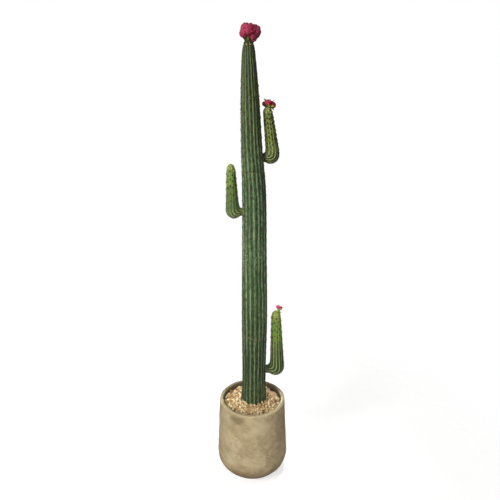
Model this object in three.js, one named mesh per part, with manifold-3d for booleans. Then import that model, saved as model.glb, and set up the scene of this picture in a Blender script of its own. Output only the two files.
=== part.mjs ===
// An artificial column cactus in a round-bottomed pot: a ribbed trunk built of stacked
// sections, three ribbed arms, a large bloom on the trunk and smaller flowers on two arms.
// Units are millimetres, +Z is up, and the origin is the centre of the pot's flat underside.
// The viewer of the front stands on the -Y side, with +X to the right.
import * as THREE from "three";
import { mergeVertices } from "three/addons/utils/BufferGeometryUtils.js";
import Module from "manifold-3d";

const wasm = await Module();
wasm.setup();

const GAP = 0.35; // clearance between pieces that touch
const TURN = 2 * Math.PI;
const UP = new THREE.Vector3(0, 0, 1);

// Pot
const POT_HEIGHT = 293;
const RIM_RADIUS = 123;
const BELLY_RADIUS = 134; // the widest circle, low on the wall
const BELLY_HEIGHT = 66;
const BOWL_ACROSS = 87; // half axes of the elliptical turn under the belly
const BOWL_DROP = 78;
const HEEL_ANGLE = THREE.MathUtils.degToRad(46); // where that turn gives way to the heel
const HEEL_REACH = 96; // the heel's corner, before rounding
const FOOT_RADIUS = 80; // flat underside
const WALL = 14;
const FLOOR = 20;
const LIP_ROUND = 5;
const POT_FACETS = 48;
const CURVE_STEPS = 3;

// Gravel bed
const BED_EDGE = 270; // height of the gravel at the pot's wall
const BED_CROWN = 289; // height of the gravel against the trunk
const BED_SHOULDER = 52; // radius where the mound starts to fall
const PEBBLE_COUNT = 24;
const PEBBLE_RADIUS = 8;
const PEBBLE_INNER = 56; // pebbles lie between these two circles
const PEBBLE_OUTER = 98;
const PEBBLE_SEED = 7;

// Trunk: height, crest radius and sideways place of the axis at each station
const TRUNK_STATIONS = [
  [271, 47.5, 6.5],
  [385, 43.8, 6.2],
  [620, 45.8, 7.5],
  [875, 42.8, 6.5],
  [1090, 40.2, 4.6],
  [1225, 35.2, -3.2],
  [1380, 30, -9],
  [1500, 22.3, -12.8],
  [1537, 16.8, -13.4],
  [1556, 7, -13.6],
];
const TRUNK_SECTIONS = [
  { name: "trunk_base", from: 271, to: 565, rows: 4, crowding: 1 },
  { name: "trunk_lower", from: 565, to: 875, rows: 3, crowding: 1 },
  { name: "trunk_upper", from: 875, to: 1150, rows: 4, crowding: 1 },
  { name: "trunk_crown", from: 1150, to: 1556, rows: 8, crowding: 1.6 }, // rows close up to the tip
];
const TRUNK_RIBS = 18;
const FRONT = -Math.PI / 2; // low on the trunk a furrow faces the front
const TWIST_START = 600; // above this height the ribs turn slowly to the left
const TWIST = -0.0002; // in radians for each millimetre

// Ribs
const RIB_DEPTH = 0.115; // share of the crest radius
const RIB_ROUNDING = 0.55; // below 1 the crests are broad and the furrows narrow
const FACETS_PER_RIB = 4;

// Arms: each leaves the trunk level, turns up round a tight corner and ends in a dome
const ARM_RIBS = 14;
const ARM_FACETS_PER_RIB = 3;
const CORNER_GAP = 3; // radius left on the inside of the turn
const FAN_ROWS = 6;
const UPRIGHT_ROWS = 6;
const DOME_ROWS = 4;
const TIP_SHARE = 0.22; // flat left at the very tip
const ARMS = [
  {
    name: "upper_right_arm",
    azimuth: 8,
    height: 1195,
    reach: 67.5,
    neck: 14.5,
    belly: 22,
    swell: 3,
    shoulder: 15.6,
    tip: 1355,
    dome: 1.4, // dome height as a share of its radius
    lean: 8,
  },
  {
    name: "left_arm",
    azimuth: 194,
    height: 1016,
    reach: 75.5,
    neck: 12.5,
    belly: 22.4,
    swell: 3,
    shoulder: 15,
    tip: 1177,
    dome: 1.8,
    lean: -1.7,
  },
  {
    name: "lower_right_arm",
    azimuth: 4,
    height: 413,
    reach: 86.7,
    neck: 15,
    belly: 26.4,
    swell: 3,
    shoulder: 17.6,
    tip: 649,
    dome: 1.75,
    lean: 2,
  },
];

// Heads of petals: centre, half axes of the core and number of petals
const BLOOM_HEADS = [
  { centre: [-9.5, 6, 1577], core: [29.5, 26, 19], petals: 20 },
  { centre: [3.5, -1, 1559], core: [14, 14, 13.5], petals: 7 },
];
const BLOOM_PETAL = { length: 11, width: 17, rise: 5 };
const BLOOM_CUP_RADIUS = 15; // green cup between the trunk's tip and the petals
const BLOOM_SEED = 3;
const WIDE_CORE = 20; // wider cores have more facets

// The upper right arm's flower stands on its tip: outwards of the arm's axis and above the tip
const FLOWER_HEADS = [
  { out: 2, up: 10, core: [14, 13, 9.5], petals: 7 },
  { out: 20, up: 3.5, core: [6.5, 6.5, 8], petals: 3 },
  { out: -7.5, up: 11, core: [6, 6, 4.5], petals: 2 },
];
const FLOWER_PETAL = { length: 8, width: 10, rise: 4 };
const FLOWER_STALK_RADIUS = 6;
const FLOWER_STALK_DEPTH = 10; // the stalk starts this far inside the arm's tip
const FLOWER_SEED = 5;
const SEPAL_COUNT = 4;
const SEPAL_LENGTH = 17;
const SEPAL_WIDTH = 5;

// Buds on the lower right arm
const BUD_STEM_RADIUS = 2.6;
const BUDS = [
  { out: 10, up: 13.5, radius: 8.4 },
  { out: 19, up: 6, radius: 6.4 },
];
const BUD_ROOT_OUT = 7; // where the stem leaves the dome, from the arm's axis
const BUD_ROOT_DROP = 12; // and below the tip
const LEAFLET_LENGTH = 13;
const LEAFLET_WIDTH = 3.4;

const GOLDEN_TURN = 2.39996; // spreads petals and pebbles evenly round
const PETAL_THICKNESS = 0.14; // share of a petal's width

function material(color, roughness) {
  return new THREE.MeshStandardMaterial({ color, roughness, metalness: 0 });
}

const potMaterial = material(0xa5967a, 0.85);
const gravelMaterial = material(0xd8b985, 0.8);
const trunkMaterial = material(0x46633c, 0.65);
const armMaterial = material(0x6d9340, 0.6);
const bloomMaterial = material(0xa02b4e, 0.75);
const flowerMaterial = material(0xb3143f, 0.7);

const { degToRad, lerp, clamp } = THREE.MathUtils;

// A repeatable stream of numbers from 0 to 1
function randomStream(seed) {
  let state = seed * 2654435761;
  return () => {
    state = (Math.imul(state ^ (state >>> 15), 2246822519) + 374761393) >>> 0;
    return ((state ^ (state >>> 13)) >>> 0) / 4294967296;
  };
}

// A closed surface as a solid that can be joined and cut, and back again
function toSolid(geometry) {
  const bare = geometry.clone();
  bare.deleteAttribute("normal");
  bare.deleteAttribute("uv");
  const merged = mergeVertices(bare, 1e-3);
  return new wasm.Manifold(
    new wasm.Mesh({
      numProp: 3,
      vertProperties: new Float32Array(merged.attributes.position.array),
      triVerts: new Uint32Array(merged.index.array),
    }),
  );
}

function toGeometry(solid) {
  const mesh = solid.getMesh();
  const geometry = new THREE.BufferGeometry();
  geometry.setAttribute("position", new THREE.BufferAttribute(mesh.vertProperties, 3));
  geometry.setIndex(new THREE.BufferAttribute(mesh.triVerts, 1));
  geometry.computeVertexNormals();
  return geometry;
}

function joined(solids) {
  return solids.reduce((whole, piece) => whole.add(piece));
}

function node(name, geometry, look) {
  const mesh = new THREE.Mesh(geometry, look);
  mesh.name = name;
  return mesh;
}

// A solid of revolution about Z from a path of (radius, height)
function turned(path, facets) {
  return new THREE.LatheGeometry(path.getPoints(CURVE_STEPS), facets).rotateX(Math.PI / 2);
}

// Smooth value of one column of a station table at a height
function stationValue(stations, column, height) {
  const last = stations.length - 1;
  let i = 0;
  while (i < last - 1 && height > stations[i + 1][0]) {
    i += 1;
  }
  const slope = (k) => {
    const a = stations[Math.max(k - 1, 0)];
    const b = stations[Math.min(k + 1, last)];
    return (b[column] - a[column]) / (b[0] - a[0]);
  };
  const span = stations[i + 1][0] - stations[i][0];
  const t = clamp((height - stations[i][0]) / span, 0, 1);
  const rise = t * t * (3 - 2 * t);
  const bendStart = span * slope(i) * t * (1 - t) * (1 - t);
  const bendEnd = span * slope(i + 1) * t * t * (t - 1);
  return lerp(stations[i][column], stations[i + 1][column], rise) + bendStart + bendEnd;
}

// Share of the crest radius at an angle round a ribbed stem
function ribShare(angle, ribs) {
  const across = Math.abs(Math.sin((angle * ribs) / 2));
  return 1 - RIB_DEPTH * (1 - across ** RIB_ROUNDING);
}

// A closed ribbed stem through rings, each with a centre, two directions and a crest radius
function ribbedStem(rings, ribs, facetsPerRib) {
  const last = rings.length - 1;
  const outline = rings.map((ring, i) => new THREE.Vector2(1, i));
  outline.unshift(new THREE.Vector2(0, 0));
  outline.push(new THREE.Vector2(0, last));
  const geometry = new THREE.LatheGeometry(outline, ribs * facetsPerRib);
  const position = geometry.attributes.position;
  const point = new THREE.Vector3();
  for (let i = 0; i < position.count; i += 1) {
    point.fromBufferAttribute(position, i);
    const ring = rings[Math.round(point.y)];
    const angle = Math.atan2(point.x, point.z);
    const reach = Math.hypot(point.x, point.z) * ring.radius * ribShare(angle, ribs);
    const turn = angle + ring.turn;
    point.copy(ring.centre);
    point.addScaledVector(ring.across, reach * Math.cos(turn));
    point.addScaledVector(ring.side, reach * Math.sin(turn));
    position.setXYZ(i, point.x, point.y, point.z);
  }
  return geometry;
}

// Pot: outer wall, rounded foot, lip and cavity in one outline
function wallRadius(height, inset) {
  const share = (height - BELLY_HEIGHT) / (POT_HEIGHT - BELLY_HEIGHT);
  return lerp(BELLY_RADIUS, RIM_RADIUS, share) - inset;
}

function potGeometry() {
  const bowlCentre = BELLY_RADIUS - BOWL_ACROSS;
  const heelRadius = bowlCentre + BOWL_ACROSS * Math.cos(HEEL_ANGLE);
  const heelHeight = BELLY_HEIGHT - BOWL_DROP * Math.sin(HEEL_ANGLE);
  const lip = POT_HEIGHT - LIP_ROUND;
  const outside = wallRadius(POT_HEIGHT, 0);
  const inside = wallRadius(POT_HEIGHT, WALL);
  const path = new THREE.Path();
  path.moveTo(0, 0);
  path.lineTo(FOOT_RADIUS, 0);
  path.quadraticCurveTo(HEEL_REACH, 0, heelRadius, heelHeight);
  path.absellipse(bowlCentre, BELLY_HEIGHT, BOWL_ACROSS, BOWL_DROP, -HEEL_ANGLE, 0);
  path.lineTo(wallRadius(lip, 0), lip);
  path.quadraticCurveTo(outside, POT_HEIGHT, outside - LIP_ROUND, POT_HEIGHT);
  path.lineTo(inside + LIP_ROUND, POT_HEIGHT);
  path.quadraticCurveTo(inside, POT_HEIGHT, wallRadius(lip, WALL), lip);
  path.lineTo(wallRadius(BELLY_HEIGHT, WALL), BELLY_HEIGHT);
  const cavityAcross = BOWL_ACROSS - WALL;
  path.quadraticCurveTo(bowlCentre + cavityAcross, FLOOR, bowlCentre, FLOOR);
  path.lineTo(0, FLOOR);
  return turned(path, POT_FACETS);
}

// Gravel bed: fills the cavity, mounds up to the trunk and carries loose pebbles
function bedHeight(radius) {
  const edge = wallRadius(BED_EDGE, WALL);
  const share = clamp((edge - radius) / (edge - BED_SHOULDER), 0, 1);
  return lerp(BED_EDGE, BED_CROWN, share);
}

function bedSolid() {
  const bowlCentre = BELLY_RADIUS - BOWL_ACROSS;
  const side = wallRadius(BELLY_HEIGHT, WALL + GAP);
  const path = new THREE.Path();
  path.moveTo(0, FLOOR + GAP);
  path.lineTo(bowlCentre - GAP, FLOOR + GAP);
  path.quadraticCurveTo(side, FLOOR + GAP, side, BELLY_HEIGHT);
  path.lineTo(wallRadius(BED_EDGE, WALL + GAP), BED_EDGE);
  path.lineTo(BED_SHOULDER, BED_CROWN);
  path.lineTo(0, BED_CROWN);
  return toSolid(turned(path, POT_FACETS));
}

function pebbleSolids() {
  const random = randomStream(PEBBLE_SEED);
  const pebbles = [];
  for (let i = 0; i < PEBBLE_COUNT; i += 1) {
    const angle = i * GOLDEN_TURN + random();
    const radius = lerp(PEBBLE_INNER, PEBBLE_OUTER, Math.sqrt(random()));
    const size = PEBBLE_RADIUS * lerp(0.6, 1.1, random());
    const pebble = new THREE.IcosahedronGeometry(size, 0);
    pebble.scale(1.2, 0.85, 0.7).rotateZ(random() * TURN);
    pebble.translate(radius * Math.cos(angle), radius * Math.sin(angle), bedHeight(radius));
    pebbles.push(toSolid(pebble));
  }
  return pebbles;
}

// Trunk
function trunkAxis(height) {
  return new THREE.Vector3(stationValue(TRUNK_STATIONS, 2, height), 0, height);
}

function trunkRings(section, from, grow) {
  const rings = [];
  for (let i = 0; i <= section.rows; i += 1) {
    const height = lerp(from, section.to, 1 - (1 - i / section.rows) ** section.crowding);
    rings.push({
      centre: trunkAxis(height),
      across: new THREE.Vector3(1, 0, 0),
      side: new THREE.Vector3(0, 1, 0),
      radius: stationValue(TRUNK_STATIONS, 1, height) + grow,
      turn: FRONT + TWIST * Math.max(height - TWIST_START, 0),
    });
  }
  return rings;
}

function trunkSection(section) {
  const from = section.from + (section === TRUNK_SECTIONS[0] ? 0 : GAP);
  return ribbedStem(trunkRings(section, from, 0), TRUNK_RIBS, FACETS_PER_RIB);
}

// The trunk in one piece, a clearance larger, to fit other pieces against
function grownTrunk() {
  const sections = TRUNK_SECTIONS.map((section) => trunkRings(section, section.from, GAP));
  const rings = sections.flatMap((section) => section.slice(0, -1));
  rings.push(sections.at(-1).at(-1));
  rings[0].centre.z -= GAP;
  rings.at(-1).centre.z += GAP;
  return toSolid(ribbedStem(rings, TRUNK_RIBS, FACETS_PER_RIB));
}

// Arms: rings of the neck and the turn, then of the upright with its dome
function armFrame(arm) {
  const azimuth = degToRad(arm.azimuth);
  const out = new THREE.Vector3(Math.cos(azimuth), Math.sin(azimuth), 0);
  return { out, side: new THREE.Vector3().crossVectors(UP, out), root: trunkAxis(arm.height) };
}

function armPoint(frame, out, up) {
  return frame.root.clone().addScaledVector(frame.out, out).addScaledVector(UP, up);
}

// A ring on the plane that turns about the arm's inner corner
function fanRing(arm, frame, angle, grow) {
  const corner = { out: arm.reach - arm.belly - CORNER_GAP, up: arm.neck + CORNER_GAP };
  const level = Math.sin(Math.min(angle, Math.PI / 2));
  const radius = lerp(arm.neck, arm.belly, level) + arm.swell * Math.max(Math.sin(2 * angle), 0);
  const centre = radius + CORNER_GAP;
  const across = armPoint(frame, Math.sin(angle), -Math.cos(angle)).sub(frame.root);
  return {
    centre: armPoint(frame, corner.out, corner.up).addScaledVector(across, centre),
    across,
    side: frame.side,
    radius: radius + grow,
    turn: 0,
  };
}

function elbowRings(arm) {
  const frame = armFrame(arm);
  const end = Math.PI / 2 + degToRad(arm.lean);
  const rings = [];
  for (let i = 0; i <= FAN_ROWS; i += 1) {
    rings.push(fanRing(arm, frame, (end * i) / FAN_ROWS, 0));
  }
  const neck = { ...rings[0], centre: frame.root.clone() };
  return [neck, ...rings];
}

function uprightRings(arm, grow) {
  const frame = armFrame(arm);
  const start = fanRing(arm, frame, Math.PI / 2 + degToRad(arm.lean), grow);
  const along = new THREE.Vector3().crossVectors(start.across, start.side).normalize();
  const length = (arm.tip - start.centre.z) / along.z;
  const domeStart = length - arm.dome * arm.shoulder;
  const rings = [];
  const addRing = (distance, radius) =>
    rings.push({
      ...start,
      centre: start.centre.clone().addScaledVector(along, distance),
      radius: radius + grow,
    });
  for (let i = 0; i < UPRIGHT_ROWS; i += 1) {
    const share = i / UPRIGHT_ROWS;
    addRing(GAP + share * (domeStart - GAP), lerp(arm.belly, arm.shoulder, share));
  }
  for (let i = 0; i <= DOME_ROWS; i += 1) {
    const rise = Math.sin(((Math.PI / 2) * i) / DOME_ROWS);
    const share = Math.max(Math.sqrt(1 - rise * rise), TIP_SHARE);
    addRing(lerp(domeStart, length + grow, rise), arm.shoulder * share);
  }
  return { rings, along, tip: rings.at(-1).centre, out: start.across };
}

function armStem(rings) {
  return ribbedStem(rings, ARM_RIBS, ARM_FACETS_PER_RIB);
}

// Petals and leaves: a thin lens from a root at the origin along +X, cupped towards +Z
function lens(length, width, cup) {
  const geometry = new THREE.SphereGeometry(0.5, 6, 4);
  geometry.rotateX(Math.PI / 2).translate(0.5, 0, 0);
  geometry.scale(length, width, width * PETAL_THICKNESS);
  const position = geometry.attributes.position;
  for (let i = 0; i < position.count; i += 1) {
    const along = position.getX(i) / length;
    position.setZ(i, position.getZ(i) + cup * length * along * along);
  }
  return geometry;
}

// Places a geometry made along +X so that +X follows a direction, rolled about it
function aim(geometry, direction, roll, root) {
  const turn = new THREE.Quaternion().setFromUnitVectors(new THREE.Vector3(1, 0, 0), direction);
  return geometry.rotateX(roll).applyQuaternion(turn).translate(root.x, root.y, root.z);
}

function ball(radii, centre, facets) {
  const geometry = new THREE.SphereGeometry(1, facets, Math.ceil(facets / 2));
  geometry.rotateX(Math.PI / 2).scale(radii.x, radii.y, radii.z);
  return geometry.translate(centre.x, centre.y, centre.z);
}

function rod(from, to, radiusFrom, radiusTo) {
  const along = new THREE.Vector3().subVectors(to, from);
  const length = along.length();
  const geometry = new THREE.CylinderGeometry(radiusTo, radiusFrom, length, 8);
  geometry.rotateZ(-Math.PI / 2).translate(length / 2, 0, 0);
  return aim(geometry, along.normalize(), 0, from);
}

// A ruffled head: petals stand out of a core all round
function headSolids(centre, core, petals, petal, random) {
  const pieces = [toSolid(ball(core, centre, core.x > WIDE_CORE ? 12 : 8))];
  const sunk = core.clone().addScalar(petal.rise - petal.length);
  for (let i = 0; i < petals; i += 1) {
    const height = 1 - (1.7 * (i + 0.5)) / petals;
    const level = Math.sqrt(1 - height * height);
    const angle = i * GOLDEN_TURN;
    const out = new THREE.Vector3(level * Math.cos(angle), level * Math.sin(angle), height);
    const root = out.clone().multiply(sunk).add(centre);
    const blade = lens(petal.length, petal.width * lerp(0.8, 1.2, random()), 0.12);
    pieces.push(toSolid(aim(blade, out, random() * TURN, root)));
  }
  return pieces;
}

function bloomSolid(trunk) {
  const random = randomStream(BLOOM_SEED);
  const pieces = BLOOM_HEADS.flatMap((head) => {
    const centre = new THREE.Vector3(...head.centre);
    return headSolids(centre, new THREE.Vector3(...head.core), head.petals, BLOOM_PETAL, random);
  });
  const apex = trunkAxis(TRUNK_SECTIONS.at(-1).to);
  const seat = apex.clone().addScaledVector(UP, -BLOOM_CUP_RADIUS);
  const heart = new THREE.Vector3(...BLOOM_HEADS[0].centre);
  pieces.push(toSolid(rod(seat, heart, BLOOM_CUP_RADIUS * 0.5, BLOOM_CUP_RADIUS)));
  return joined(pieces).subtract(trunk);
}

function flowerSolid(arm) {
  const random = randomStream(FLOWER_SEED);
  const { along, tip, out } = uprightRings(arm, 0);
  const side = new THREE.Vector3().crossVectors(along, out);
  const place = (outward, upward) =>
    tip.clone().addScaledVector(out, outward).addScaledVector(along, upward);
  const root = place(0, -FLOWER_STALK_DEPTH);
  const pieces = [];
  for (const head of FLOWER_HEADS) {
    const centre = place(head.out, head.up);
    const core = new THREE.Vector3(...head.core);
    pieces.push(...headSolids(centre, core, head.petals, FLOWER_PETAL, random));
  }
  const heart = place(FLOWER_HEADS[0].out, FLOWER_HEADS[0].up);
  pieces.push(toSolid(rod(root, heart, FLOWER_STALK_RADIUS * 0.7, FLOWER_STALK_RADIUS)));
  for (let i = 0; i < SEPAL_COUNT; i += 1) {
    const angle = (i / SEPAL_COUNT) * TURN;
    const direction = new THREE.Vector3()
      .addScaledVector(out, Math.cos(angle))
      .addScaledVector(side, Math.sin(angle))
      .addScaledVector(along, -0.3)
      .normalize();
    const sepalRoot = heart.clone().addScaledVector(along, -FLOWER_HEADS[0].core[2] * 0.6);
    const sepal = lens(SEPAL_LENGTH, SEPAL_WIDTH, 0.1);
    pieces.push(toSolid(aim(sepal, direction, 0.3 * i, sepalRoot)));
  }
  return joined(pieces).subtract(toSolid(armStem(uprightRings(arm, GAP).rings)));
}

function budSolid(arm) {
  const { along, tip, out } = uprightRings(arm, 0);
  const place = (outward, upward) =>
    tip.clone().addScaledVector(out, outward).addScaledVector(along, upward);
  const root = place(BUD_ROOT_OUT, -BUD_ROOT_DROP);
  const pieces = [];
  for (const bud of BUDS) {
    const centre = place(bud.out, bud.up);
    const radii = new THREE.Vector3(bud.radius, bud.radius, bud.radius * 1.1);
    pieces.push(toSolid(rod(root, centre, BUD_STEM_RADIUS, BUD_STEM_RADIUS)));
    pieces.push(toSolid(ball(radii, centre, 10)));
  }
  const leafletRoot = place(BUD_ROOT_OUT + 1, -BUD_ROOT_DROP + 3);
  const direction = place(1, 0.45).sub(tip).normalize();
  pieces.push(toSolid(aim(lens(LEAFLET_LENGTH, LEAFLET_WIDTH, 0.05), direction, 0, leafletRoot)));
  return joined(pieces).subtract(toSolid(armStem(uprightRings(arm, GAP).rings)));
}

// The whole plant in its pot
const cactus = new THREE.Group();
cactus.name = "potted_column_cactus";
const trunkEnvelope = grownTrunk();

cactus.add(node("pot", potGeometry(), potMaterial));
const bed = joined([bedSolid(), ...pebbleSolids()]).subtract(trunkEnvelope);
cactus.add(node("gravel_bed", toGeometry(bed), gravelMaterial));

for (const section of TRUNK_SECTIONS) {
  cactus.add(node(section.name, trunkSection(section), trunkMaterial));
}

for (const arm of ARMS) {
  const elbow = toSolid(armStem(elbowRings(arm))).subtract(trunkEnvelope);
  cactus.add(node(`${arm.name}_elbow`, toGeometry(elbow), armMaterial));
  cactus.add(node(`${arm.name}_upright`, armStem(uprightRings(arm, 0).rings), armMaterial));
}

const [upperRightArm, , lowerRightArm] = ARMS;
cactus.add(node("top_bloom", toGeometry(bloomSolid(trunkEnvelope)), bloomMaterial));
cactus.add(node("upper_right_flower", toGeometry(flowerSolid(upperRightArm)), flowerMaterial));
cactus.add(node("lower_right_buds", toGeometry(budSolid(lowerRightArm)), flowerMaterial));

export default cactus;
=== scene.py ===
"""Looks of an artificial column cactus in a pot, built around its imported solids.

Units are metres, +Z is up and the viewer of the front stands on the -Y side.
"""

import math

import bmesh
import bpy
import numpy as np
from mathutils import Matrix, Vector


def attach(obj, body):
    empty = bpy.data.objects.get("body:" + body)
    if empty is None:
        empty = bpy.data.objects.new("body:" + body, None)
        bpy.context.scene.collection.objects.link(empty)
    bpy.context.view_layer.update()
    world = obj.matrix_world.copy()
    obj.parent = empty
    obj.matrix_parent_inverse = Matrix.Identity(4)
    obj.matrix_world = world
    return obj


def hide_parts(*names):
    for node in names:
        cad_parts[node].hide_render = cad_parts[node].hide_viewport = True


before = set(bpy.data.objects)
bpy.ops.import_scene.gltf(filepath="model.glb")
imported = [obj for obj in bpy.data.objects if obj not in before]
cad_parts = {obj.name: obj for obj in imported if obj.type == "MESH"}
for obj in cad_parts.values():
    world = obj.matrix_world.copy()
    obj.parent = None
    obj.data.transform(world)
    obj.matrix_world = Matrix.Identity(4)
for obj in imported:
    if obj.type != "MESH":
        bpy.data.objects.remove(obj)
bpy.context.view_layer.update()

MM = 0.001
FULL_TURN = 2 * math.pi
QUARTER_TURN = math.pi / 2
GOLDEN_TURN = 2.39996
UP = np.array((0.0, 0.0, 1.0))
CLEAR = 0.35 * MM

# Pot
POT_HEIGHT = 293 * MM
RIM_RADIUS = 123 * MM
BELLY_RADIUS = 134 * MM
BELLY_HEIGHT = 66 * MM
BOWL_ACROSS = 87 * MM
BOWL_DROP = 78 * MM
BOWL_RADIUS = BELLY_RADIUS - BOWL_ACROSS
HEEL_ANGLE = math.radians(46)
HEEL_REACH = 96 * MM
FOOT_RADIUS = 80 * MM
WALL = 14 * MM
FLOOR = 20 * MM
LIP_ROUND = 5 * MM
LIP_LOW = 284 * MM
LIP_HIGH = 292 * MM
# Painted highlight along the rim's inner edge: its radius, width, place round the pot and spread
HIGHLIGHT_RADIUS = 112 * MM
HIGHLIGHT_WIDTH = 2.8 * MM
HIGHLIGHT_ANGLE = -0.2
HIGHLIGHT_SPREAD = 0.42
SMOOTH_BELOW = 6 * MM
UNEVEN_ABOVE = 26 * MM
MIDDLE_RADIUS = 4 * MM
POT_COLUMNS = 176

# Marks on the pot's wall, dark or pale: strength, place round the pot, height, half width, half height
POT_MARKS = (
    (1.0, -2.02, 0.27, 0.33, 0.024),
    (0.8, -1.76, 0.24, 0.1, 0.009),
    (1.0, -0.96, 0.272, 0.13, 0.006),
    (-1.0, -1.3, 0.245, 0.42, 0.032),
)

# Gravel bed
BED_EDGE = 270 * MM
BED_CROWN = 289 * MM
BED_SHOULDER = 52 * MM
BED_COLUMNS = 180
BED_RINGS = 30
PATCH_SHARE = 0.8
PATCH_Y = -66 * MM
PATCH_SIZE = (20 * MM, 14 * MM)
CLOD_PLACE = (90 * MM, 50 * MM)
CLOD_SIZE = (46 * MM, 30 * MM)
CLOD_TURN = (0.55, 0.835)

# Loose stones: spacing in mm at a mean radius, tries, lift in mm, clumping, radii in mm, share of each tone.
# The lower layer takes more of the dark tones, partly as painted shade between the upper stones
STONE_LAYERS = (
    (6.6, 9000, 1.0, 1.5, (3.2, 4.8), (0.16, 0.27, 0.34, 0.23)),
    (8.4, 4000, 4.6, 0.9, (3.8, 5.6), (0.40, 0.33, 0.18, 0.09)),
)
STONE_REACH = (0.042**2, 0.1065**2)
MEAN_RADIUS = 4.2
STONE_CUTS = (9, 14)
CUT_HEIGHTS = (0.62, 0.95)

# Uneven surfaces: depth in mm, length of the waves in m and seed
POT_WAVES = ((0.45, 0.11, 21), (0.22, 0.03, 22), (0.1, 0.009, 23))
BED_WAVES = ((1.4, 0.045, 31), (0.7, 0.014, 32))
CLOD_WAVES = ((2.2, 0.03, 33),)

# Trunk: height, crest radius and sideways place of the axis at each station
TRUNK_STATIONS = MM * np.array(
    (
        (271, 47.5, 6.5),
        (385, 43.8, 6.2),
        (620, 45.8, 7.5),
        (875, 42.8, 6.5),
        (1090, 40.2, 4.6),
        (1225, 35.2, -3.2),
        (1380, 30, -9),
        (1500, 22.3, -12.8),
        (1537, 16.8, -13.4),
        (1556, 7, -13.6),
    )
)
TRUNK_SECTIONS = (
    ("trunk_base", 271 * MM, 565 * MM),
    ("trunk_lower", 565 * MM, 875 * MM),
    ("trunk_upper", 875 * MM, 1150 * MM),
    ("trunk_crown", 1150 * MM, 1556 * MM),
)
TRUNK_RIBS = 18
TRUNK_SAMPLES = 14
TRUNK_ROW = 3 * MM
TRUNK_PITCH = 31 * MM
TRUNK_LOOSE = 0.15
TRUNK_BUMP = 0.25 * MM
FRONT = -QUARTER_TURN
TWIST_START = 600 * MM
TWIST = -0.0002 / MM
JOINT_GROOVES = MM * np.array((0.0, 0.15, 0.15))
PALE_RING = 1535.5 * MM
SEAM_LINE = 558 * MM
SEAM_TILT = 0.18
UPPER_SEAM = 1149 * MM
SEAM_DEPTH = 0.7 * MM
SEAM_WIDTH = 1.4 * MM
SEAM_STAIN = 2.2 * MM
JOINT_WIDTH = 1.5 * MM
SCUFF = 868 * MM
SCUFF_REACH = 40 * MM
TIP_LOW = 1505 * MM
TIP_HIGH = 1545 * MM

# Heights between which the trunk has dark spines, and how its pale lines and spines change on the way up
DARK_LOW = 300 * MM
DARK_HIGH = 1522 * MM
LINE_WIDTHS = ((0.4, 0.6, 0.95, 1.2, 1.4), (0.13, 0.16, 0.19, 0.2, 0.21))
SPINE_STRENGTHS = ((0.3, 0.7, 1.1, 1.43, 1.47), (0.62, 0.7, 0.95, 0.95, 0.3))

# Ribs: shape, sideways wander and fine grain, then half sizes of the bumps and stains at the spines
RIB_DEPTH = 0.115
RIB_ROUNDING = 0.55
WANDER_ANGLE = 0.024
WANDER_LENGTH = 50 * MM
WANDER_RADIUS = 35 * MM
WANDER_STRETCH = (1, 1, 0.35)
GRAIN_DEPTH = 0.2 * MM
GRAIN_LENGTH = 9 * MM
GRAIN_STRETCH = (1, 1, 0.3)
BUMP_SIZE = (4.2 * MM, 3.4 * MM)
STAIN_SIZE = (3.6 * MM, 2.8 * MM)

# Arms: sizes in mm, shape of the dome, tints with painted light at the front and painted shade at the sides,
# pale lines, shade at the neck and spines, then the angles in degrees. The shade at the neck is partly its
# grey-brown and partly painted shade, and it is painted light where it is below zero
ARM_RIBS = 14
ARM_SAMPLES = 12
ARM_ROW = 2.6 * MM
ARM_LOOSE = 0.2
ARM_BUMP = 0.4 * MM
NECK_ROWS = 13
BEND_ROWS = 36
DOME_ROWS = 18
CORNER_GAP = 3 * MM
TIP_SHARE = 0.06
PALE_TIP = 22 * MM
NECK_START = 0.8
FOOT_SHARE = 0.94
STAIN_CLEAR = 1.12
SPINE_CLEAR = 1.14
ARM_SIZES = ("height", "reach", "neck", "belly", "swell", "shoulder", "tip", "pitch", "soft")
ARM_TINTS = ("low", "glow", "olive", "cool", "painted_light_and_shade", "painted_side_shade")
ARM_LINES = ("lines", "run", "pale", "pale_width", "shade", "dots")
ARM_KEYS = (*ARM_SIZES, "dome", *ARM_TINTS, *ARM_LINES, "azimuth", "lean")
ARMS = {
    "upper_right_arm": (
        *(1195, 67.5, 14.5, 22, 3, 15.6, 1355, 15.5, 9),
        *(1.4, 0.36, 0.72, 0.65, 0.0, 1.0, 0.0, 0.85, 99, 0.95, 0.18, 0.9, 0.95, 8, 8),
    ),
    "left_arm": (
        *(1016, 75.5, 12.5, 22.4, 3, 15, 1177, 23, 14),
        *(1.8, 0.22, 0.92, 0.0, 0.85, 0.0, 1.7, 0.3, 36, 1.8, 0.23, -0.5, 0.75, 194, -1.7),
    ),
    "lower_right_arm": (
        *(413, 86.7, 15, 26.4, 3, 17.6, 649, 25, 11),
        *(1.75, -0.14, 1.02, 0.15, 0.0, 0.0, 0.0, 0.75, 99, 0.76, 0.16, 0.75, 0.75, 4, 2),
    ),
}

# Spines
CUSHION = MM * np.array((2.0, 2.7, 0.6))
NEEDLE_WIDTH = 0.32 * MM
NEEDLE_COUNT = (7, 10)
NEEDLE_LEAN = (1.4, 4.0)
NEEDLE_LENGTH = (2.2, 3.6)
NEEDLE_CORNERS = (0, 2.094, 4.189)
NEEDLE_FACES = ((0, 2, 1), (0, 1, 3), (1, 2, 3), (2, 0, 3))
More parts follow.
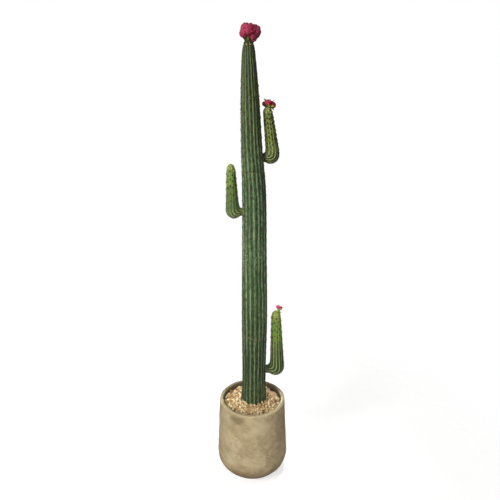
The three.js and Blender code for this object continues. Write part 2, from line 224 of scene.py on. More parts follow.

# Heads of the large bloom, in mm: centre, axis, radii, petals, spread of a petal in degrees, and a lift of
# the painted light and shade in its petals' tones
BLOOM_HEADS = (
    ((-10, 2, 1574.5), (-0.1, -0.3, 1), (29, 30, 20.8), 30, 33, 0),
    ((-21.5, -2, 1580), (-0.5, -0.4, 0.8), (16, 19, 18), 12, 50, 0),
    ((11, -1, 1572), (0.8, -0.4, 0.5), (13.5, 19, 15), 10, 50, 0.45),
    ((8, -3, 1565), (0.7, -0.6, -0.2), (13.5, 14, 12), 8, 50, 0.45),
    ((1.5, -5, 1559.5), (0.6, -0.6, -0.3), (12.5, 14, 17), 10, 48, -0.35),
    ((-26.5, -6, 1566.5), (-0.6, -0.6, -0.1), (15, 17, 13), 10, 50, 0),
    ((7.5, -3, 1585.5), (0.3, -0.4, 1), (7.5, 9, 7.5), 7, 52, 0),
    ((15.5, -3, 1582), (0.6, -0.4, 0.8), (7, 8, 7.5), 7, 52, 0.45),
    ((-6.5, -3, 1589.5), (0, -0.5, 1), (6.5, 8, 7.5), 7, 52, 0),
    ((-14.5, -20, 1581.5), (0.2, -0.9, 0.5), (8.5, 7.5, 7.5), 7, 52, 0),
)
CUP_BASE = MM * np.array((-13.6, 0, 1545))
CUP_LEAVES = 8
PETAL_ROWS = 11
PETAL_COLUMNS = 15
CORE_SHARE = 0.88

# Thickness of the petals and leaves, in mm
BLOOM_THICKNESS = 0.8
FLOWER_THICKNESS = 0.6
BUD_THICKNESS = 0.5
LEAF_THICKNESS = 0.7

# Spread of a petal of the flower in degrees, and points along and across a leaf
FLOWER_SPAN = 44
LEAF_ROWS = 9
LEAF_COLUMNS = 7

# Leaves under the flower: root in mm, direction, length and width in mm, tone
FLOWER_LEAVES = (
    ((-2, 15, -3), (-0.35, 1, -0.2), 13, 6, 0),
    ((5, -5, -7), (0.9, 0.25, -0.2), 13, 9, 1),
    ((11, 14, 0), (0.5, 1, 0), 8, 4, 1),
    ((18, 12, 0), (1, 0.6, 0), 11, 2.4, 0),
    ((6, 1, -8), (0.9, -0.3, -0.3), 16, 10, 0),
    ((14, -2, -5), (0.35, -1, -0.1), 14, 7.5, 0),
    ((3, -3, -12), (0, 1, -0.15), 11, 7, 0),
    ((-2, 1, -6), (-1, 0.75, -0.1), 16, 6, 1),
    ((-1, 0, 6), (-1, 0.7, 0.4), 16, 6, 1),
    ((5, 0, 9), (0.2, 0.7, 1), 14, 6, 1),
    ((10, 0, 7), (0.9, 0.3, 0.7), 15, 6, 0),
)

# Whorls of leaves under the buds: leaves, first angle, root, lean outwards, spread, length, width, curl
BUD_WHORLS = (
    (6, 0, (15, 2.4), 0.5, 0.9, 11, 7, -0.2),
    (4, 0.6, (8.4, 5.6), 0, 0.8, 7, 5, -0.1),
)

# Leaf sprig under the buds: root in mm, direction and length in mm
BUD_SPRIG = (((10.5, -12), (1, 0.45, -0.1), 13), ((13, -11), (0.6, 1, 0.2), 6))

# Lights: place, aim, size, power, tint and spread in degrees
LIGHTS = {
    "key": ((-2.35, -2.1, 2.6), (0, 0, 0.9), 1.4, 96, (1.0, 0.985, 0.96), 180),
    "front": ((0.15, -2.4, 0.9), (0, 0, 0.15), 1.2, 2.9, (1.0, 0.985, 0.96), 50),
    "top": ((0.45, 0.8, 3.0), (0.075, 0.03, 0.28), 0.6, 0.6, (1.0, 0.99, 0.97), 20),
    "back": ((0.2, 3.0, 2.6), (0, 0, 0.8), 2.0, 42, (1.0, 1.0, 1.0), 180),
}
FLOOR_RADII = np.array((0.02, 0.5, 2, 6, 20, 60))
FLOOR_COLUMNS = 64

# Seeds of the random draws
TRUNK_SEED = 11
LINE_SEED = 13
STONE_SEED = 41
CLUMP_SEED = 43
BLOOM_SEED = 51
FLOWER_SEED = 61
BUD_SEED = 71
ARM_SEED = 81
SPINE_SEED = 91


# Numbers


def lerp(first, second, share):
    return first + (second - first) * share


def ramp(values, start, stop):
    """0 up to a start, 1 from a stop on and straight between them."""
    return np.clip((values - start) / (stop - start), 0, 1)


def bell(offset, width):
    return np.exp(-((offset / width) ** 2))


def unit(vectors):
    vectors = np.asarray(vectors, float)
    return vectors / np.maximum(np.linalg.norm(vectors, axis=-1, keepdims=True), 1e-12)


def swung(first, second, angle):
    """The first of two directions, turned by an angle towards the second."""
    return math.cos(angle) * first + math.sin(angle) * second


def waves(points, scale, seed):
    """A smooth irregular field, mostly between -1 and 1, as a sum of plane waves."""
    count = 8
    rng = np.random.default_rng(seed)
    total = np.zeros(points.shape[:-1])
    for _ in range(count):
        direction = unit(rng.normal(size=3)) * rng.uniform(0.6, 1.7) * FULL_TURN / scale
        total += np.sin(points @ direction + rng.uniform(0, FULL_TURN))
    return total / math.sqrt(count)


def uneven(points, table):
    """The sum of several waves, in mm."""
    return sum(depth * waves(points, scale, seed) for depth, scale, seed in table)


def station_value(heights, column):
    """Smooth value of one column of the trunk's stations at each height."""
    table = TRUNK_STATIONS
    last = len(table) - 1
    place = np.clip(np.searchsorted(table[:, 0], heights) - 1, 0, last - 1)
    before = np.maximum(np.arange(last + 1) - 1, 0)
    after = np.minimum(np.arange(last + 1) + 1, last)
    slopes = (table[after, column] - table[before, column]) / (table[after, 0] - table[before, 0])
    span = table[place + 1, 0] - table[place, 0]
    t = np.clip((heights - table[place, 0]) / span, 0, 1)
    value = lerp(table[place, column], table[place + 1, column], t * t * (3 - 2 * t))
    value += span * slopes[place] * t * (1 - t) ** 2
    return value + span * slopes[place + 1] * t * t * (t - 1)


def trunk_turn(heights):
    return FRONT + TWIST * np.maximum(heights - TWIST_START, 0)


def rib_share(angles, ribs):
    """Share of the crest radius at an angle round a ribbed stem, with a furrow at angle 0."""
    across = np.abs(np.sin(angles * ribs / 2))
    return 1 - RIB_DEPTH * (1 - across**RIB_ROUNDING)


def wall_radius(height, inset):
    share = (height - BELLY_HEIGHT) / (POT_HEIGHT - BELLY_HEIGHT)
    return lerp(BELLY_RADIUS, RIM_RADIUS, share) - inset


def linear(red, green, blue):
    """The linear colour, with alpha, of an eight-bit display colour."""
    shares = np.array((red, green, blue)) / 255
    low = shares / 12.92
    high = ((shares + 0.055) / 1.055) ** 2.4
    return (*np.where(shares <= 0.04045, low, high).tolist(), 1.0)


# Meshes


def circle(columns):
    """Even angles round a circle, with the level directions at them."""
    angles = np.arange(columns) * FULL_TURN / columns
    return angles, np.stack((np.cos(angles), np.sin(angles)), -1)


def spun(profile, around):
    """A grid of points: radii and heights of a profile, carried round the axis."""
    grid = np.empty((len(profile), len(around), 3))
    grid[..., :2] = profile[:, None, :1] * around
    grid[..., 2] = profile[:, 1:]
    return grid


def grid_faces(rows, columns, closed):
    """Quads of a grid of points, wrapped round where closed."""
    width = columns if closed else columns - 1
    i, j = np.meshgrid(np.arange(rows - 1), np.arange(width), indexing="ij")
    k = (j + 1) % columns
    corners = (i * columns + j, i * columns + k, (i + 1) * columns + k, (i + 1) * columns + j)
    return np.stack(corners, -1).reshape(-1, 4)


def new_piece(name, points, faces, looks, fields, tones=None, smooth=True, places=None):
    """A mesh piece on the root body, with its materials and per-point fields."""
    mesh = bpy.data.meshes.new(name)
    mesh.from_pydata(np.asarray(points).tolist(), [], [tuple(face) for face in faces])
    for look in looks:
        mesh.materials.append(look)
    if tones is not None:
        mesh.polygons.foreach_set("material_index", np.asarray(tones, np.int32))
    mesh.polygons.foreach_set("use_smooth", np.full(len(mesh.polygons), smooth))
    for key, values in fields.items():
        field = mesh.attributes.new(key, "FLOAT", "POINT")
        field.data.foreach_set("value", np.asarray(values, np.float32).ravel())
    if places is not None:
        layer = mesh.uv_layers.new(name="OFBake")
        layer.uv.foreach_set("vector", np.asarray(places, np.float32).ravel())
    mesh.update()
    piece = bpy.data.objects.new(name, mesh)
    bpy.context.scene.collection.objects.link(piece)
    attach(piece, "root")
    return piece


def tube(grid):
    """Points, faces and map places of a closed tube with a fan over each end."""
    rows, columns = grid.shape[:2]
    ends = np.stack((grid[0].mean(0), grid[-1].mean(0)))
    points = np.concatenate((grid.reshape(-1, 3), ends))
    first = rows * columns
    j = np.arange(columns)
    k = (j + 1) % columns
    low = np.stack((np.full(columns, first), k, j), 1)
    high = np.stack((np.full(columns, first + 1), first - columns + j, first - columns + k), 1)
    faces = [*grid_faces(rows, columns, True).tolist(), *low.tolist(), *high.tolist()]
    margin = 0.03
    step = np.linalg.norm(np.diff(grid, axis=0), axis=-1).mean(1)
    along = margin + (1 - 2 * margin) * np.concatenate(((0,), np.cumsum(step))) / step.sum()
    i, left = np.meshgrid(np.arange(rows - 1), j, indexing="ij")
    u = np.stack((left, left + 1, left + 1, left), -1) / columns
    v = np.stack((along[i], along[i], along[i + 1], along[i + 1]), -1)
    side = np.stack((u, v), -1).reshape(-1, 2)
    base, top = np.zeros(columns), np.ones(columns)
    middle, start, stop = (j + 0.5) / columns, j / columns, (j + 1) / columns
    low_cap = np.stack((middle, base, stop, base + margin, start, base + margin), 1).reshape(-1, 2)
    high_cap = np.stack((middle, top, start, top - margin, stop, top - margin), 1).reshape(-1, 2)
    return points, faces, np.concatenate((side, low_cap, high_cap))


def tube_piece(name, grid, look, fields, mapped=True):
    """A closed tube as a piece. Each field has a value for every point, for every row or for all."""
    points, faces, places = tube(grid)
    spread = {}
    for key, values in fields.items():
        if np.ndim(values) < 2:
            values = np.reshape(values, (-1, 1))
        values = np.broadcast_to(values, grid.shape[:2])
        spread[key] = np.concatenate((values.ravel(), (values[0].mean(), values[-1].mean())))
    return new_piece(name, points, faces, [look], spread, places=places if mapped else None)


def thick_sheet(grid, thickness):
    """A closed thin blade round a grid of points, thinned towards its edge."""
    rows, columns = grid.shape[:2]
    normal = unit(np.cross(np.gradient(grid, axis=0), np.gradient(grid, axis=1)))
    i = np.minimum(np.arange(rows), np.arange(rows)[::-1])[:, None]
    j = np.minimum(np.arange(columns), np.arange(columns)[::-1])[None]
    half = normal * thickness / 2 * np.where(np.minimum(i, j) == 0, 0.45, 1.0)[..., None]
    points = np.concatenate(((grid + half).reshape(-1, 3), (grid - half).reshape(-1, 3)))
    front = grid_faces(rows, columns, False)
    count = rows * columns
    number = np.arange(count).reshape(rows, columns)
    rim = np.concatenate((number[0, :-1], number[:-1, -1], number[-1, :0:-1], number[:0:-1, 0]))
    after = np.roll(rim, -1)
    sides = np.stack((rim, rim + count, after + count, after), 1)
    return points, np.concatenate((front[:, ::-1], front + count, sides[:, ::-1]))


class Joined:
    """Many small meshes gathered into one piece."""

    def __init__(self):
        self.points, self.faces, self.tones, self.shares, self.count = [], [], [], [], 0

    def add(self, points, faces, tone=0, share=0.5):
        """Adds a mesh with its tone and a share between 0 and 1 for each of its points."""
        self.points.append(np.asarray(points))
        if isinstance(faces, np.ndarray):
            self.faces += (faces + self.count).tolist()
        else:
            self.faces += [[corner + self.count for corner in face] for face in faces]
        self.tones += [tone] * len(faces)
        self.shares.append(np.broadcast_to(share, len(points)))
        self.count += len(points)

    def piece(self, name, looks, smooth=True):
        fields = {"share": np.concatenate(self.shares)}
        return new_piece(name, np.concatenate(self.points), self.faces, looks, fields, self.tones, smooth)


def ball_mesh(subdivisions):
    made = bmesh.new()
    bmesh.ops.create_icosphere(made, subdivisions=subdivisions, radius=1)
    points = np.array([vertex.co for vertex in made.verts])
    faces = np.array([[vertex.index for vertex in face.verts] for face in made.faces])
    made.free()
    return points, faces


BALL_SMALL = ball_mesh(2)
BALL_FINE = ball_mesh(3)


def rod(start, end, radius_start, radius_end, columns, rows):
    """A closed round rod, rounded a little at its far end."""
    start, end = np.asarray(start), np.asarray(end)
    along = unit(end - start)
    first = unit(np.cross(along, (0.3, 0.9, 0.2)))
    second = np.cross(along, first)
    share = np.linspace(0, 1, rows)[:, None, None]
    angle = circle(columns)[0][None, :, None]
    radius = lerp(radius_start, radius_end, share) * np.where(share > 0.99, 0.7, 1)
    grid = start + share * (end - start) + radius * (np.cos(angle) * first + np.sin(angle) * second)
    points, faces, _ = tube(grid)
    return points, faces


def leaf(root, direction, facing, length, width, curl):
    """A pointed leaf along a direction, with a folded midrib and a curl. Length and width are in mm."""
    length, width = length * MM, width * MM
    direction = unit(direction)
    side = unit(np.cross(direction, facing))
    normal = np.cross(side, direction)
    s = np.linspace(0, 1, LEAF_ROWS)[:, None, None]
    v = np.linspace(-1, 1, LEAF_COLUMNS)[None, :, None]
    half = width / 2 * (0.18 + 0.82 * np.sin(np.pi * s**0.8)) * (1 - s**6 * 0.9)
    lift = curl * length * s**2 + 0.25 * half * np.abs(v) ** 1.4
    grid = np.asarray(root) + direction * (length * s) + side * (half * v) + normal * lift
    return thick_sheet(grid, LEAF_THICKNESS * MM)


# Materials


class Look:
    """A procedural material with short ways to add to its nodes. Colours are display colours."""

    def __init__(self, name):
        self.material = bpy.data.materials.new(name)
        self.material.use_nodes = True
        self.tree = self.material.node_tree
        self.shader = self.tree.nodes["Principled BSDF"]
        self.place = self.node("TexCoord").outputs["Object"]

    def put(self, socket, value):
        """Gives a socket a link, a field by its name, a colour or a number."""
        if isinstance(value, str):
            value = self.field(value)
        if isinstance(value, bpy.types.NodeSocket):
            self.tree.links.new(value, socket)
        else:
            socket.default_value = linear(*value) if socket.type == "RGBA" else value

    def node(self, kind, inputs=None):
        made = self.tree.nodes.new(f"ShaderNode{kind}")
        for key, value in (inputs or {}).items():
            self.put(made.inputs[key], value)
        return made

    def noise(self, scale, detail=4.0, roughness=0.55, turn=None, warp=0.0):
        """Cloudy noise with one scale, or with a scale for each axis after a turn."""
        vector = self.place
        if isinstance(scale, tuple):
            for key, values in (("Rotation", turn), ("Scale", scale)):
                if values:
                    vector = self.node("Mapping", {"Vector": vector, key: values}).outputs["Vector"]
            scale = 1.0
        inputs = {"Vector": vector, "Scale": scale, "Detail": detail}
        inputs.update({"Roughness": roughness, "Distortion": warp})
        return self.node("TexNoise", inputs).outputs["Fac"]

    def cells(self, scale):
        return self.node("TexVoronoi", {"Vector": self.place, "Scale": scale}).outputs["Distance"]

    def field(self, name):
        made = self.node("Attribute")
        made.attribute_name = name
        return made.outputs["Fac"]

    def height(self):
        return self.node("SeparateXYZ", {"Vector": self.place}).outputs["Z"]

    def span(self, value, low, high, start=0.0, stop=1.0):
        """A value between two limits, spread over another range."""
        inputs = {"Value": value, "From Min": low, "From Max": high, "To Min": start, "To Max": stop}
        made = self.node("MapRange", inputs)
        made.interpolation_type = "SMOOTHSTEP"
        return made.outputs["Result"]

    def calc(self, operation, first, second):
        made = self.node("Math", {0: first, 1: second})
        made.operation = operation
        return made.outputs["Value"]

    def times(self, first, second):
        return self.calc("MULTIPLY", first, second)

    def plus(self, first, second, weight=1.0):
        return self.calc("ADD", first, self.times(second, weight))

    def blend(self, share, first, second):
        made = self.node("Mix")
        made.data_type = "RGBA"
        for key, value in (("Factor", share), (6, first), (7, second)):
            self.put(made.inputs[key], value)
        return made.outputs[2]

    def layered(self, base, *layers):
        """A colour under layers.

        Each layer starts with a share, or with a value, its two limits and the share at the second.
        It ends with a colour, and a factor may stand before that.
        """
        for share, *limits, colour in layers:
            if len(limits) > 2:
                low, high, full = limits[:3]
                share = self.span(share, low, high, 0, full)
            if len(limits) in (1, 4):
                share = self.times(share, limits[-1])
            base = self.blend(share, base, colour)
        return base

    def sheen(self, weight, rough):
        self.shader.inputs["Sheen Weight"].default_value = weight
        self.shader.inputs["Sheen Roughness"].default_value = rough

    def finish(self, colour, rough, relief, depth, strength, specular=0.35):
        """Sets the colour, the roughness as a span and a bump of a depth in mm."""
        self.put(self.shader.inputs["Base Color"], colour)
        self.put(self.shader.inputs["Roughness"], self.span(*rough))
        self.shader.inputs["Specular IOR Level"].default_value = specular
        bump = self.node("Bump", {"Distance": depth * MM, "Strength": strength, "Height": relief})
        self.put(self.shader.inputs["Normal"], bump.outputs["Normal"])
        return self.material


def trunk_look():
    look = Look("coated_trunk")
    low = look.span(look.height(), 0.86, 0.5)
    top = look.span(look.height(), 1.12, 1.4)
    calm = look.span(top, 0, 1, 1, 0.12)
    long_grain = look.noise((240, 240, 26), 5, 0.6)
    patch = look.noise((22, 22, 9), 3, 0.5)
    dust = look.noise((190, 190, 85), 4, 0.6)
    speck = look.noise(360, 2, 0.5)
    scuff = look.noise((330, 330, 130), 3, 0.6, (0, 0.5, 0))
    chipped = look.span(look.noise(120, 3), 0.44, 0.54)
    broken = look.span(look.noise((110, 110, 78), 4, 0.65), 0.38, 0.58, 0.15, 1)
    broken = look.calc("MAXIMUM", broken, look.span(top, 0, 1, 0, 0.75))
    broken = look.calc("MAXIMUM", broken, look.span(low, 0.2, 1, 0, 0.55))
    grain = look.blend(low, (88, 119, 70), (63, 91, 47))
    line = look.blend(low, (180, 198, 152), (152, 172, 128))
    line = look.blend(top, line, (160, 172, 116))
    base = look.layered(
        look.blend(low, (52, 83, 43), (26, 43, 17)),
        (top, (41, 58, 20)),
        (long_grain, 0.42, 0.74, 0.7, grain),
        (patch, 0.54, 0.72, 0.4, (82, 108, 54)),
        (patch, 0.48, 0.3, 0.5, (38, 58, 42)),
        (dust, 0.47, 0.3, 0.75, calm, (34, 52, 34)),
        ("furrow", broken, line),
        (dust, 0.55, 0.72, 0.6, calm, (122, 142, 102)),
        (speck, 0.63, 0.7, 0.6, calm, (160, 168, 128)),
        (scuff, 0.54, 0.63, 0.9, "scuff", (162, 182, 134)),
        ("seam", chipped, (144, 116, 92)),
        ("tip", (66, 68, 28)),
        ("spot", 0.22, 0.7, 0.85, (62, 38, 32)),
    )
    relief = look.plus(look.noise(900, 4, 0.6), long_grain, 1.6)
    relief = look.times(relief, look.span(top, 0, 1, 1, 0.4))
    look.sheen(0.1, 0.4)
    return look.finish(base, (long_grain, 0.2, 0.8, 0.5, 0.78), relief, 0.8, 0.5)


def arm_look():
    look = Look("coated_arm")
    long_grain = look.noise((260, 260, 45), 5, 0.6)
    patch = look.noise((45, 45, 22), 3, 0.5)
    dust = look.noise((230, 230, 110), 4, 0.6)
    speck = look.noise(420, 2, 0.5)
    broken = look.span(look.noise((140, 140, 90), 4, 0.65), 0.3, 0.6, 0.35, 1)
    lively = look.times(look.span("tip", 0, 0.45, 0.2, 1), look.calc("SUBTRACT", 1.0, "cool"))
    ripe = look.blend("olive", (118, 156, 64), (130, 144, 80))
    line = look.blend(look.span("tip", 0.36, 0.52), (182, 193, 134), (158, 174, 82))
    base = look.layered(
        look.blend(look.span(long_grain, 0.3, 0.7), (30, 50, 21), (52, 76, 32)),
        ("tip", 0.15, 0.76, 0.92, ripe),
        ("cool", (93, 120, 76)),
        # Painted light on the front of the arms and painted shade on their sides
        ("painted_light_and_shade", 0, 1, 0.4, (146, 166, 82)),
        ("painted_light_and_shade", 1, 2, 0.5, (150, 196, 90)),
        ("painted_light_and_shade", 0, -1, 0.7, (58, 66, 40)),
        (patch, 0.5, 0.72, 0.5, lively, (146, 164, 72)),
        (patch, 0.46, 0.3, 0.4, (66, 92, 40)),
        (dust, 0.46, 0.3, 0.5, (64, 88, 38)),
        # Painted light at the neck where the arm's shade value is below zero
        ("neck", 0, -1, 1, (132, 142, 102)),
        ("furrow", broken, line),
        ("tip", 0.74, 1.0, 0.65, (160, 168, 82)),
        # Grey-brown at the neck where the arm meets the trunk: partly its own colour, partly painted shade
        ("neck", (76, 74, 56)),
        (dust, 0.56, 0.72, 0.5, lively, (150, 166, 84)),
        (speck, 0.64, 0.72, 0.45, lively, (176, 182, 112)),
        ("spot", 0.22, 0.8, 0.88, (72, 42, 34)),
    )
    relief = look.plus(look.noise(1000, 4, 0.6), long_grain, 1.4)
    return look.finish(base, (long_grain, 0.2, 0.8, 0.45, 0.72), relief, 0.7, 0.5)


def pot_look():
    look = Look("cement_pot")
    cloud = look.noise(15, 8, 0.62, warp=0.4)
    mottle = look.noise(55, 6, 0.6)
    smear = look.noise((14, 22, 62), 5, 0.55, (0, 0.75, 0), 0.5)
    brush = look.noise((30, 60, 190), 4, 0.6, (0, -0.6, 0), 0.6)
    grit = look.noise(700, 3, 0.6)
    pits = look.times(look.span(look.cells(150), 0.12, 0.05), look.span(look.noise(34, 3), 0.58, 0.66))
    low = look.span(look.plus(look.height(), cloud, 0.06), 0.13, 0.035)
    edge = look.plus("stain", look.plus(smear, mottle, 0.6))
    base = look.layered(
        look.blend(look.span(cloud, 0.34, 0.66), (168, 150, 116), (192, 175, 140)),
        (mottle, 0.5, 0.75, 0.55, (210, 195, 160)),
        (mottle, 0.48, 0.28, 0.5, (148, 130, 97)),
        (smear, 0.58, 0.78, 0.45, (202, 188, 154)),
        (smear, 0.4, 0.24, 0.5, (140, 123, 92)),
        (brush, 0.54, 0.7, 0.36, (212, 198, 164)),
        (brush, 0.46, 0.28, 0.4, (138, 118, 86)),
        # Darker towards the foot: partly a brown tint, partly painted shade under the belly
        (low, 0.85, (126, 104, 75)),
        (edge, 1.15, 1.7, 0.7, (116, 100, 71)),
        ("stain", -0.1, -0.9, 0.4, (212, 197, 162)),
        # Painted shade on the inner wall
        ("inside", 0.88, (76, 67, 51)),
        ("lip", 0.35, (188, 174, 140)),
        # Painted shade on the lip towards the rear
        ("rear", 0.95, (78, 69, 54)),
        # Painted highlight along the rim's inner edge, broken up by the mottling
        ("rim_highlight", look.span(mottle, 0.36, 0.52, 0.2, 1), (246, 236, 208)),
        (pits, (120, 104, 76)),
        (grit, 0.5, 0.75, 0.25, (152, 136, 104)),
    )
    relief = look.plus(look.plus(grit, mottle, 2.0), pits, -2.0)
    return look.finish(base, (mottle, 0.25, 0.75, 0.66, 0.92), relief, 0.7, 0.5, 0.25)


def stone_look(name, colour, second, rough):
    look = Look(name)
    cloud = look.noise(260, 5, 0.6)
    grain = look.noise(1500, 3, 0.6)
    base = look.blend(look.span(cloud, 0.35, 0.7), colour, second)
    base = look.layered(base, (grain, 0.55, 0.75, 0.35, (120, 94, 58)))
    relief = look.plus(grain, cloud, 2.0)
    return look.finish(base, (grain, 0.3, 0.7, rough, rough + 0.25), relief, 0.6, 0.6, 0.4)


def sand_look():
    look = Look("bed_sand")
    cloud = look.noise(45, 4, 0.6)
    grains = look.cells(420)
    base = look.blend(look.span(cloud, 0.35, 0.65), (170, 138, 98), (208, 174, 130))
    base = look.blend(look.span(grains, 0.2, 0.7), (222, 194, 150), base)
    # Paler soil of the clod, lifted further as painted light where the trunk's shadow falls on it
    base = look.layered(base, ("clod", 0.85, (238, 200, 158)))
    return look.finish(base, (cloud, 0.3, 0.7, 0.75, 0.95), grains, 1.6, 0.8, 0.2)


def petal_look(name, colour, deep, bright):
    """Cloth petals: fine weave, soft blotches, a deep base and a slightly paler rim."""
    look = Look(name)
    cloud = look.noise(140, 4, 0.6)
    weave = look.noise((2600, 2600, 900), 2, 0.5)
    base = look.layered(
        look.blend(look.span("share", 0.0, 0.55), deep, colour),
        (cloud, 0.5, 0.3, 0.4, deep),
        (cloud, 0.55, 0.8, 0.6, bright),
        ("share", 0.86, 1.0, 0.45, bright),
        (weave, 0.55, 0.8, 0.15, bright),
    )
    look.sheen(0.15, 0.5)
    return look.finish(base, (cloud, 0.3, 0.7, 0.55, 0.8), look.plus(weave, cloud), 0.5, 0.5, 0.25)


def leaf_look(name, colour, deep, bright):
    look = Look(name)
    cloud = look.noise(190, 4, 0.6)
    veins = look.noise((900, 900, 300), 3, 0.5)
    base = look.blend(look.span(cloud, 0.3, 0.6), deep, colour)
    base = look.layered(base, (veins, 0.5, 0.75, 0.6, bright))
    return look.finish(base, (cloud, 0.3, 0.7, 0.45, 0.7), look.plus(veins, cloud), 0.4, 0.5)


def spine_look(name, colour, deep):
    look = Look(name)
    cloud = look.noise(500, 4, 0.6)
    wool = look.noise(3500, 2, 0.6)
    base = look.blend(look.span(cloud, 0.3, 0.7), deep, colour)
    base = look.layered(base, (wool, 0.55, 0.8, 0.4, (124, 98, 74)))
    return look.finish(base, (wool, 0.3, 0.7, 0.6, 0.9), wool, 0.4, 0.6, 0.3)


TRUNK_LOOK = trunk_look()
ARM_LOOK = arm_look()
POT_LOOK = pot_look()
SAND_LOOK = sand_look()
STONE_LOOKS = (
    stone_look("stone_ivory", (252, 234, 184), (255, 248, 216), 0.22),
    stone_look("stone_honey", (214, 184, 126), (236, 210, 158), 0.3),
    stone_look("stone_tan", (168, 138, 96), (194, 164, 120), 0.45),
    stone_look("stone_brown", (126, 92, 56), (158, 122, 80), 0.5),
)
# Three petal tones, dealt partly at random and partly by which way a petal faces, as painted light and shade
PETAL_LOOKS = (
    petal_look("petal_pink", (192, 62, 98), (170, 44, 78), (206, 104, 136)),
    petal_look("petal_magenta", (174, 44, 78), (150, 34, 64), (190, 80, 112)),
    petal_look("petal_wine", (160, 38, 67), (136, 29, 54), (180, 76, 102)),
)
FLOWER_LOOKS = (
    petal_look("flower_crimson", (196, 46, 82), (136, 20, 46), (214, 92, 118)),
    petal_look("flower_deep", (130, 22, 40), (84, 12, 24), (158, 46, 64)),
    petal_look("bud_pink", (255, 74, 146), (232, 46, 112), (255, 136, 184)),
)
LEAF_LOOKS = (
    leaf_look("leaf_lime", (150, 166, 60), (112, 132, 40), (186, 194, 96)),
    leaf_look("leaf_olive", (84, 88, 38), (58, 64, 26), (118, 120, 56)),
    # A paler olive, used as a painted highlight on the front leaf of the bloom's cup
    leaf_look("leaf_olive_highlight", (116, 126, 54), (84, 94, 36), (146, 154, 84)),
)
SPINE_LOOKS = (
    spine_look("spine_russet", (80, 50, 42), (52, 32, 28)),
    spine_look("spine_umber", (84, 58, 42), (54, 34, 26)),
    spine_look("spine_pale", (222, 216, 154), (192, 186, 120)),
)


# Ribbed stems


def ribbed_grid(centres, across, side, radii, turns, counts, spines, line_widths, seed):
    """The surface of a ribbed stem as a grid of points, with its fields and spine places.

    The counts are of ribs and of points across each rib. The spines have a pitch, the looseness
    of that pitch, the height of the bump under them and a strength for each row.
    """
    ribs, samples = counts
    pitch, loose, bump, strength = spines
    angles, around = circle(ribs * samples)
    spread = np.pad(around, ((0, 0), (0, 1)))[None] * WANDER_RADIUS + centres[:, None] * WANDER_STRETCH
    turned = angles[None] + turns[:, None] + WANDER_ANGLE * waves(spread, WANDER_LENGTH, seed)
    out = np.cos(turned)[..., None] * across[:, None] + np.sin(turned)[..., None] * side[:, None]
    reach = radii[:, None] * rib_share(angles, ribs)[None]
    grid = centres[:, None] + reach[..., None] * out
    phase = np.abs((angles * ribs / FULL_TURN + 0.5) % 1 - 0.5)
    aside = (0.5 - phase)[None] * radii[:, None] * FULL_TURN / ribs
    rng = np.random.default_rng(seed)
    lift = np.zeros(grid.shape[:2])
    stain = np.zeros(grid.shape[:2])
    places = []
    rows = np.arange(len(centres))
    for rib in range(ribs):
        column = rib * samples + samples // 2
        steps = np.linalg.norm(np.diff(grid[:, column], axis=0), axis=-1)
        down = np.concatenate((np.cumsum(steps[::-1])[::-1], (0,)))
        spot = pitch * (0.3 + 0.5 * (rib % 2) + rng.uniform(-0.5, 0.5) * loose)
        band = slice(rib * samples, (rib + 1) * samples)
        while spot < down[0] - 2 * MM:
            row = np.interp(-spot, -down, rows)
            size = min(1.0, np.interp(row, rows, radii) / (0.55 * radii.max()))
            size *= np.interp(row, rows, strength)
            away = (down - spot)[:, None]
            for field, (length, width) in ((lift, BUMP_SIZE), (stain, STAIN_SIZE)):
                field[:, band] += size * bell(away, length) * bell(aside[:, band], width)
            places.append((int(round(row)), column, size))
            spot += pitch * rng.uniform(1 - loose, 1 + loose)
    fine = waves(grid * GRAIN_STRETCH, GRAIN_LENGTH, seed + 1) * GRAIN_DEPTH
    grid = grid + (bump * lift + fine)[..., None] * out
    furrow = np.exp(-((phase[None] / line_widths[:, None]) ** 3))
    return grid, furrow, stain, places, out


def spot_at(grid, out, row, column, size):
    """A spine place: its point, the direction out of the skin, the direction along, its size."""
    low, high = max(row - 1, 0), min(row + 1, len(grid) - 1)
    along = unit(grid[high, column] - grid[low, column])
    normal = unit(out[row, column] - along * (out[row, column] @ along))
    return grid[row, column], normal, along, size


def trunk_rows():
    """Heights of the rows of all trunk sections, and each section's name and rows."""
    low, high = TRUNK_SECTIONS[0][1], TRUNK_SECTIONS[-1][2]
    heights, sections, first = [], [], 0
    for name, start, stop in TRUNK_SECTIONS:
        share = np.linspace(0, 1, int(round((stop - start) / TRUNK_ROW)) + 1)
        if stop == high:
            share = 1 - (1 - share) ** 1.35
        gap = 0 if start == low else 0.02 * MM
        heights.append(lerp(start + gap, stop, share))
        sections.append((name, slice(first, first + len(share))))
        first += len(share)
    return np.concatenate(heights), sections


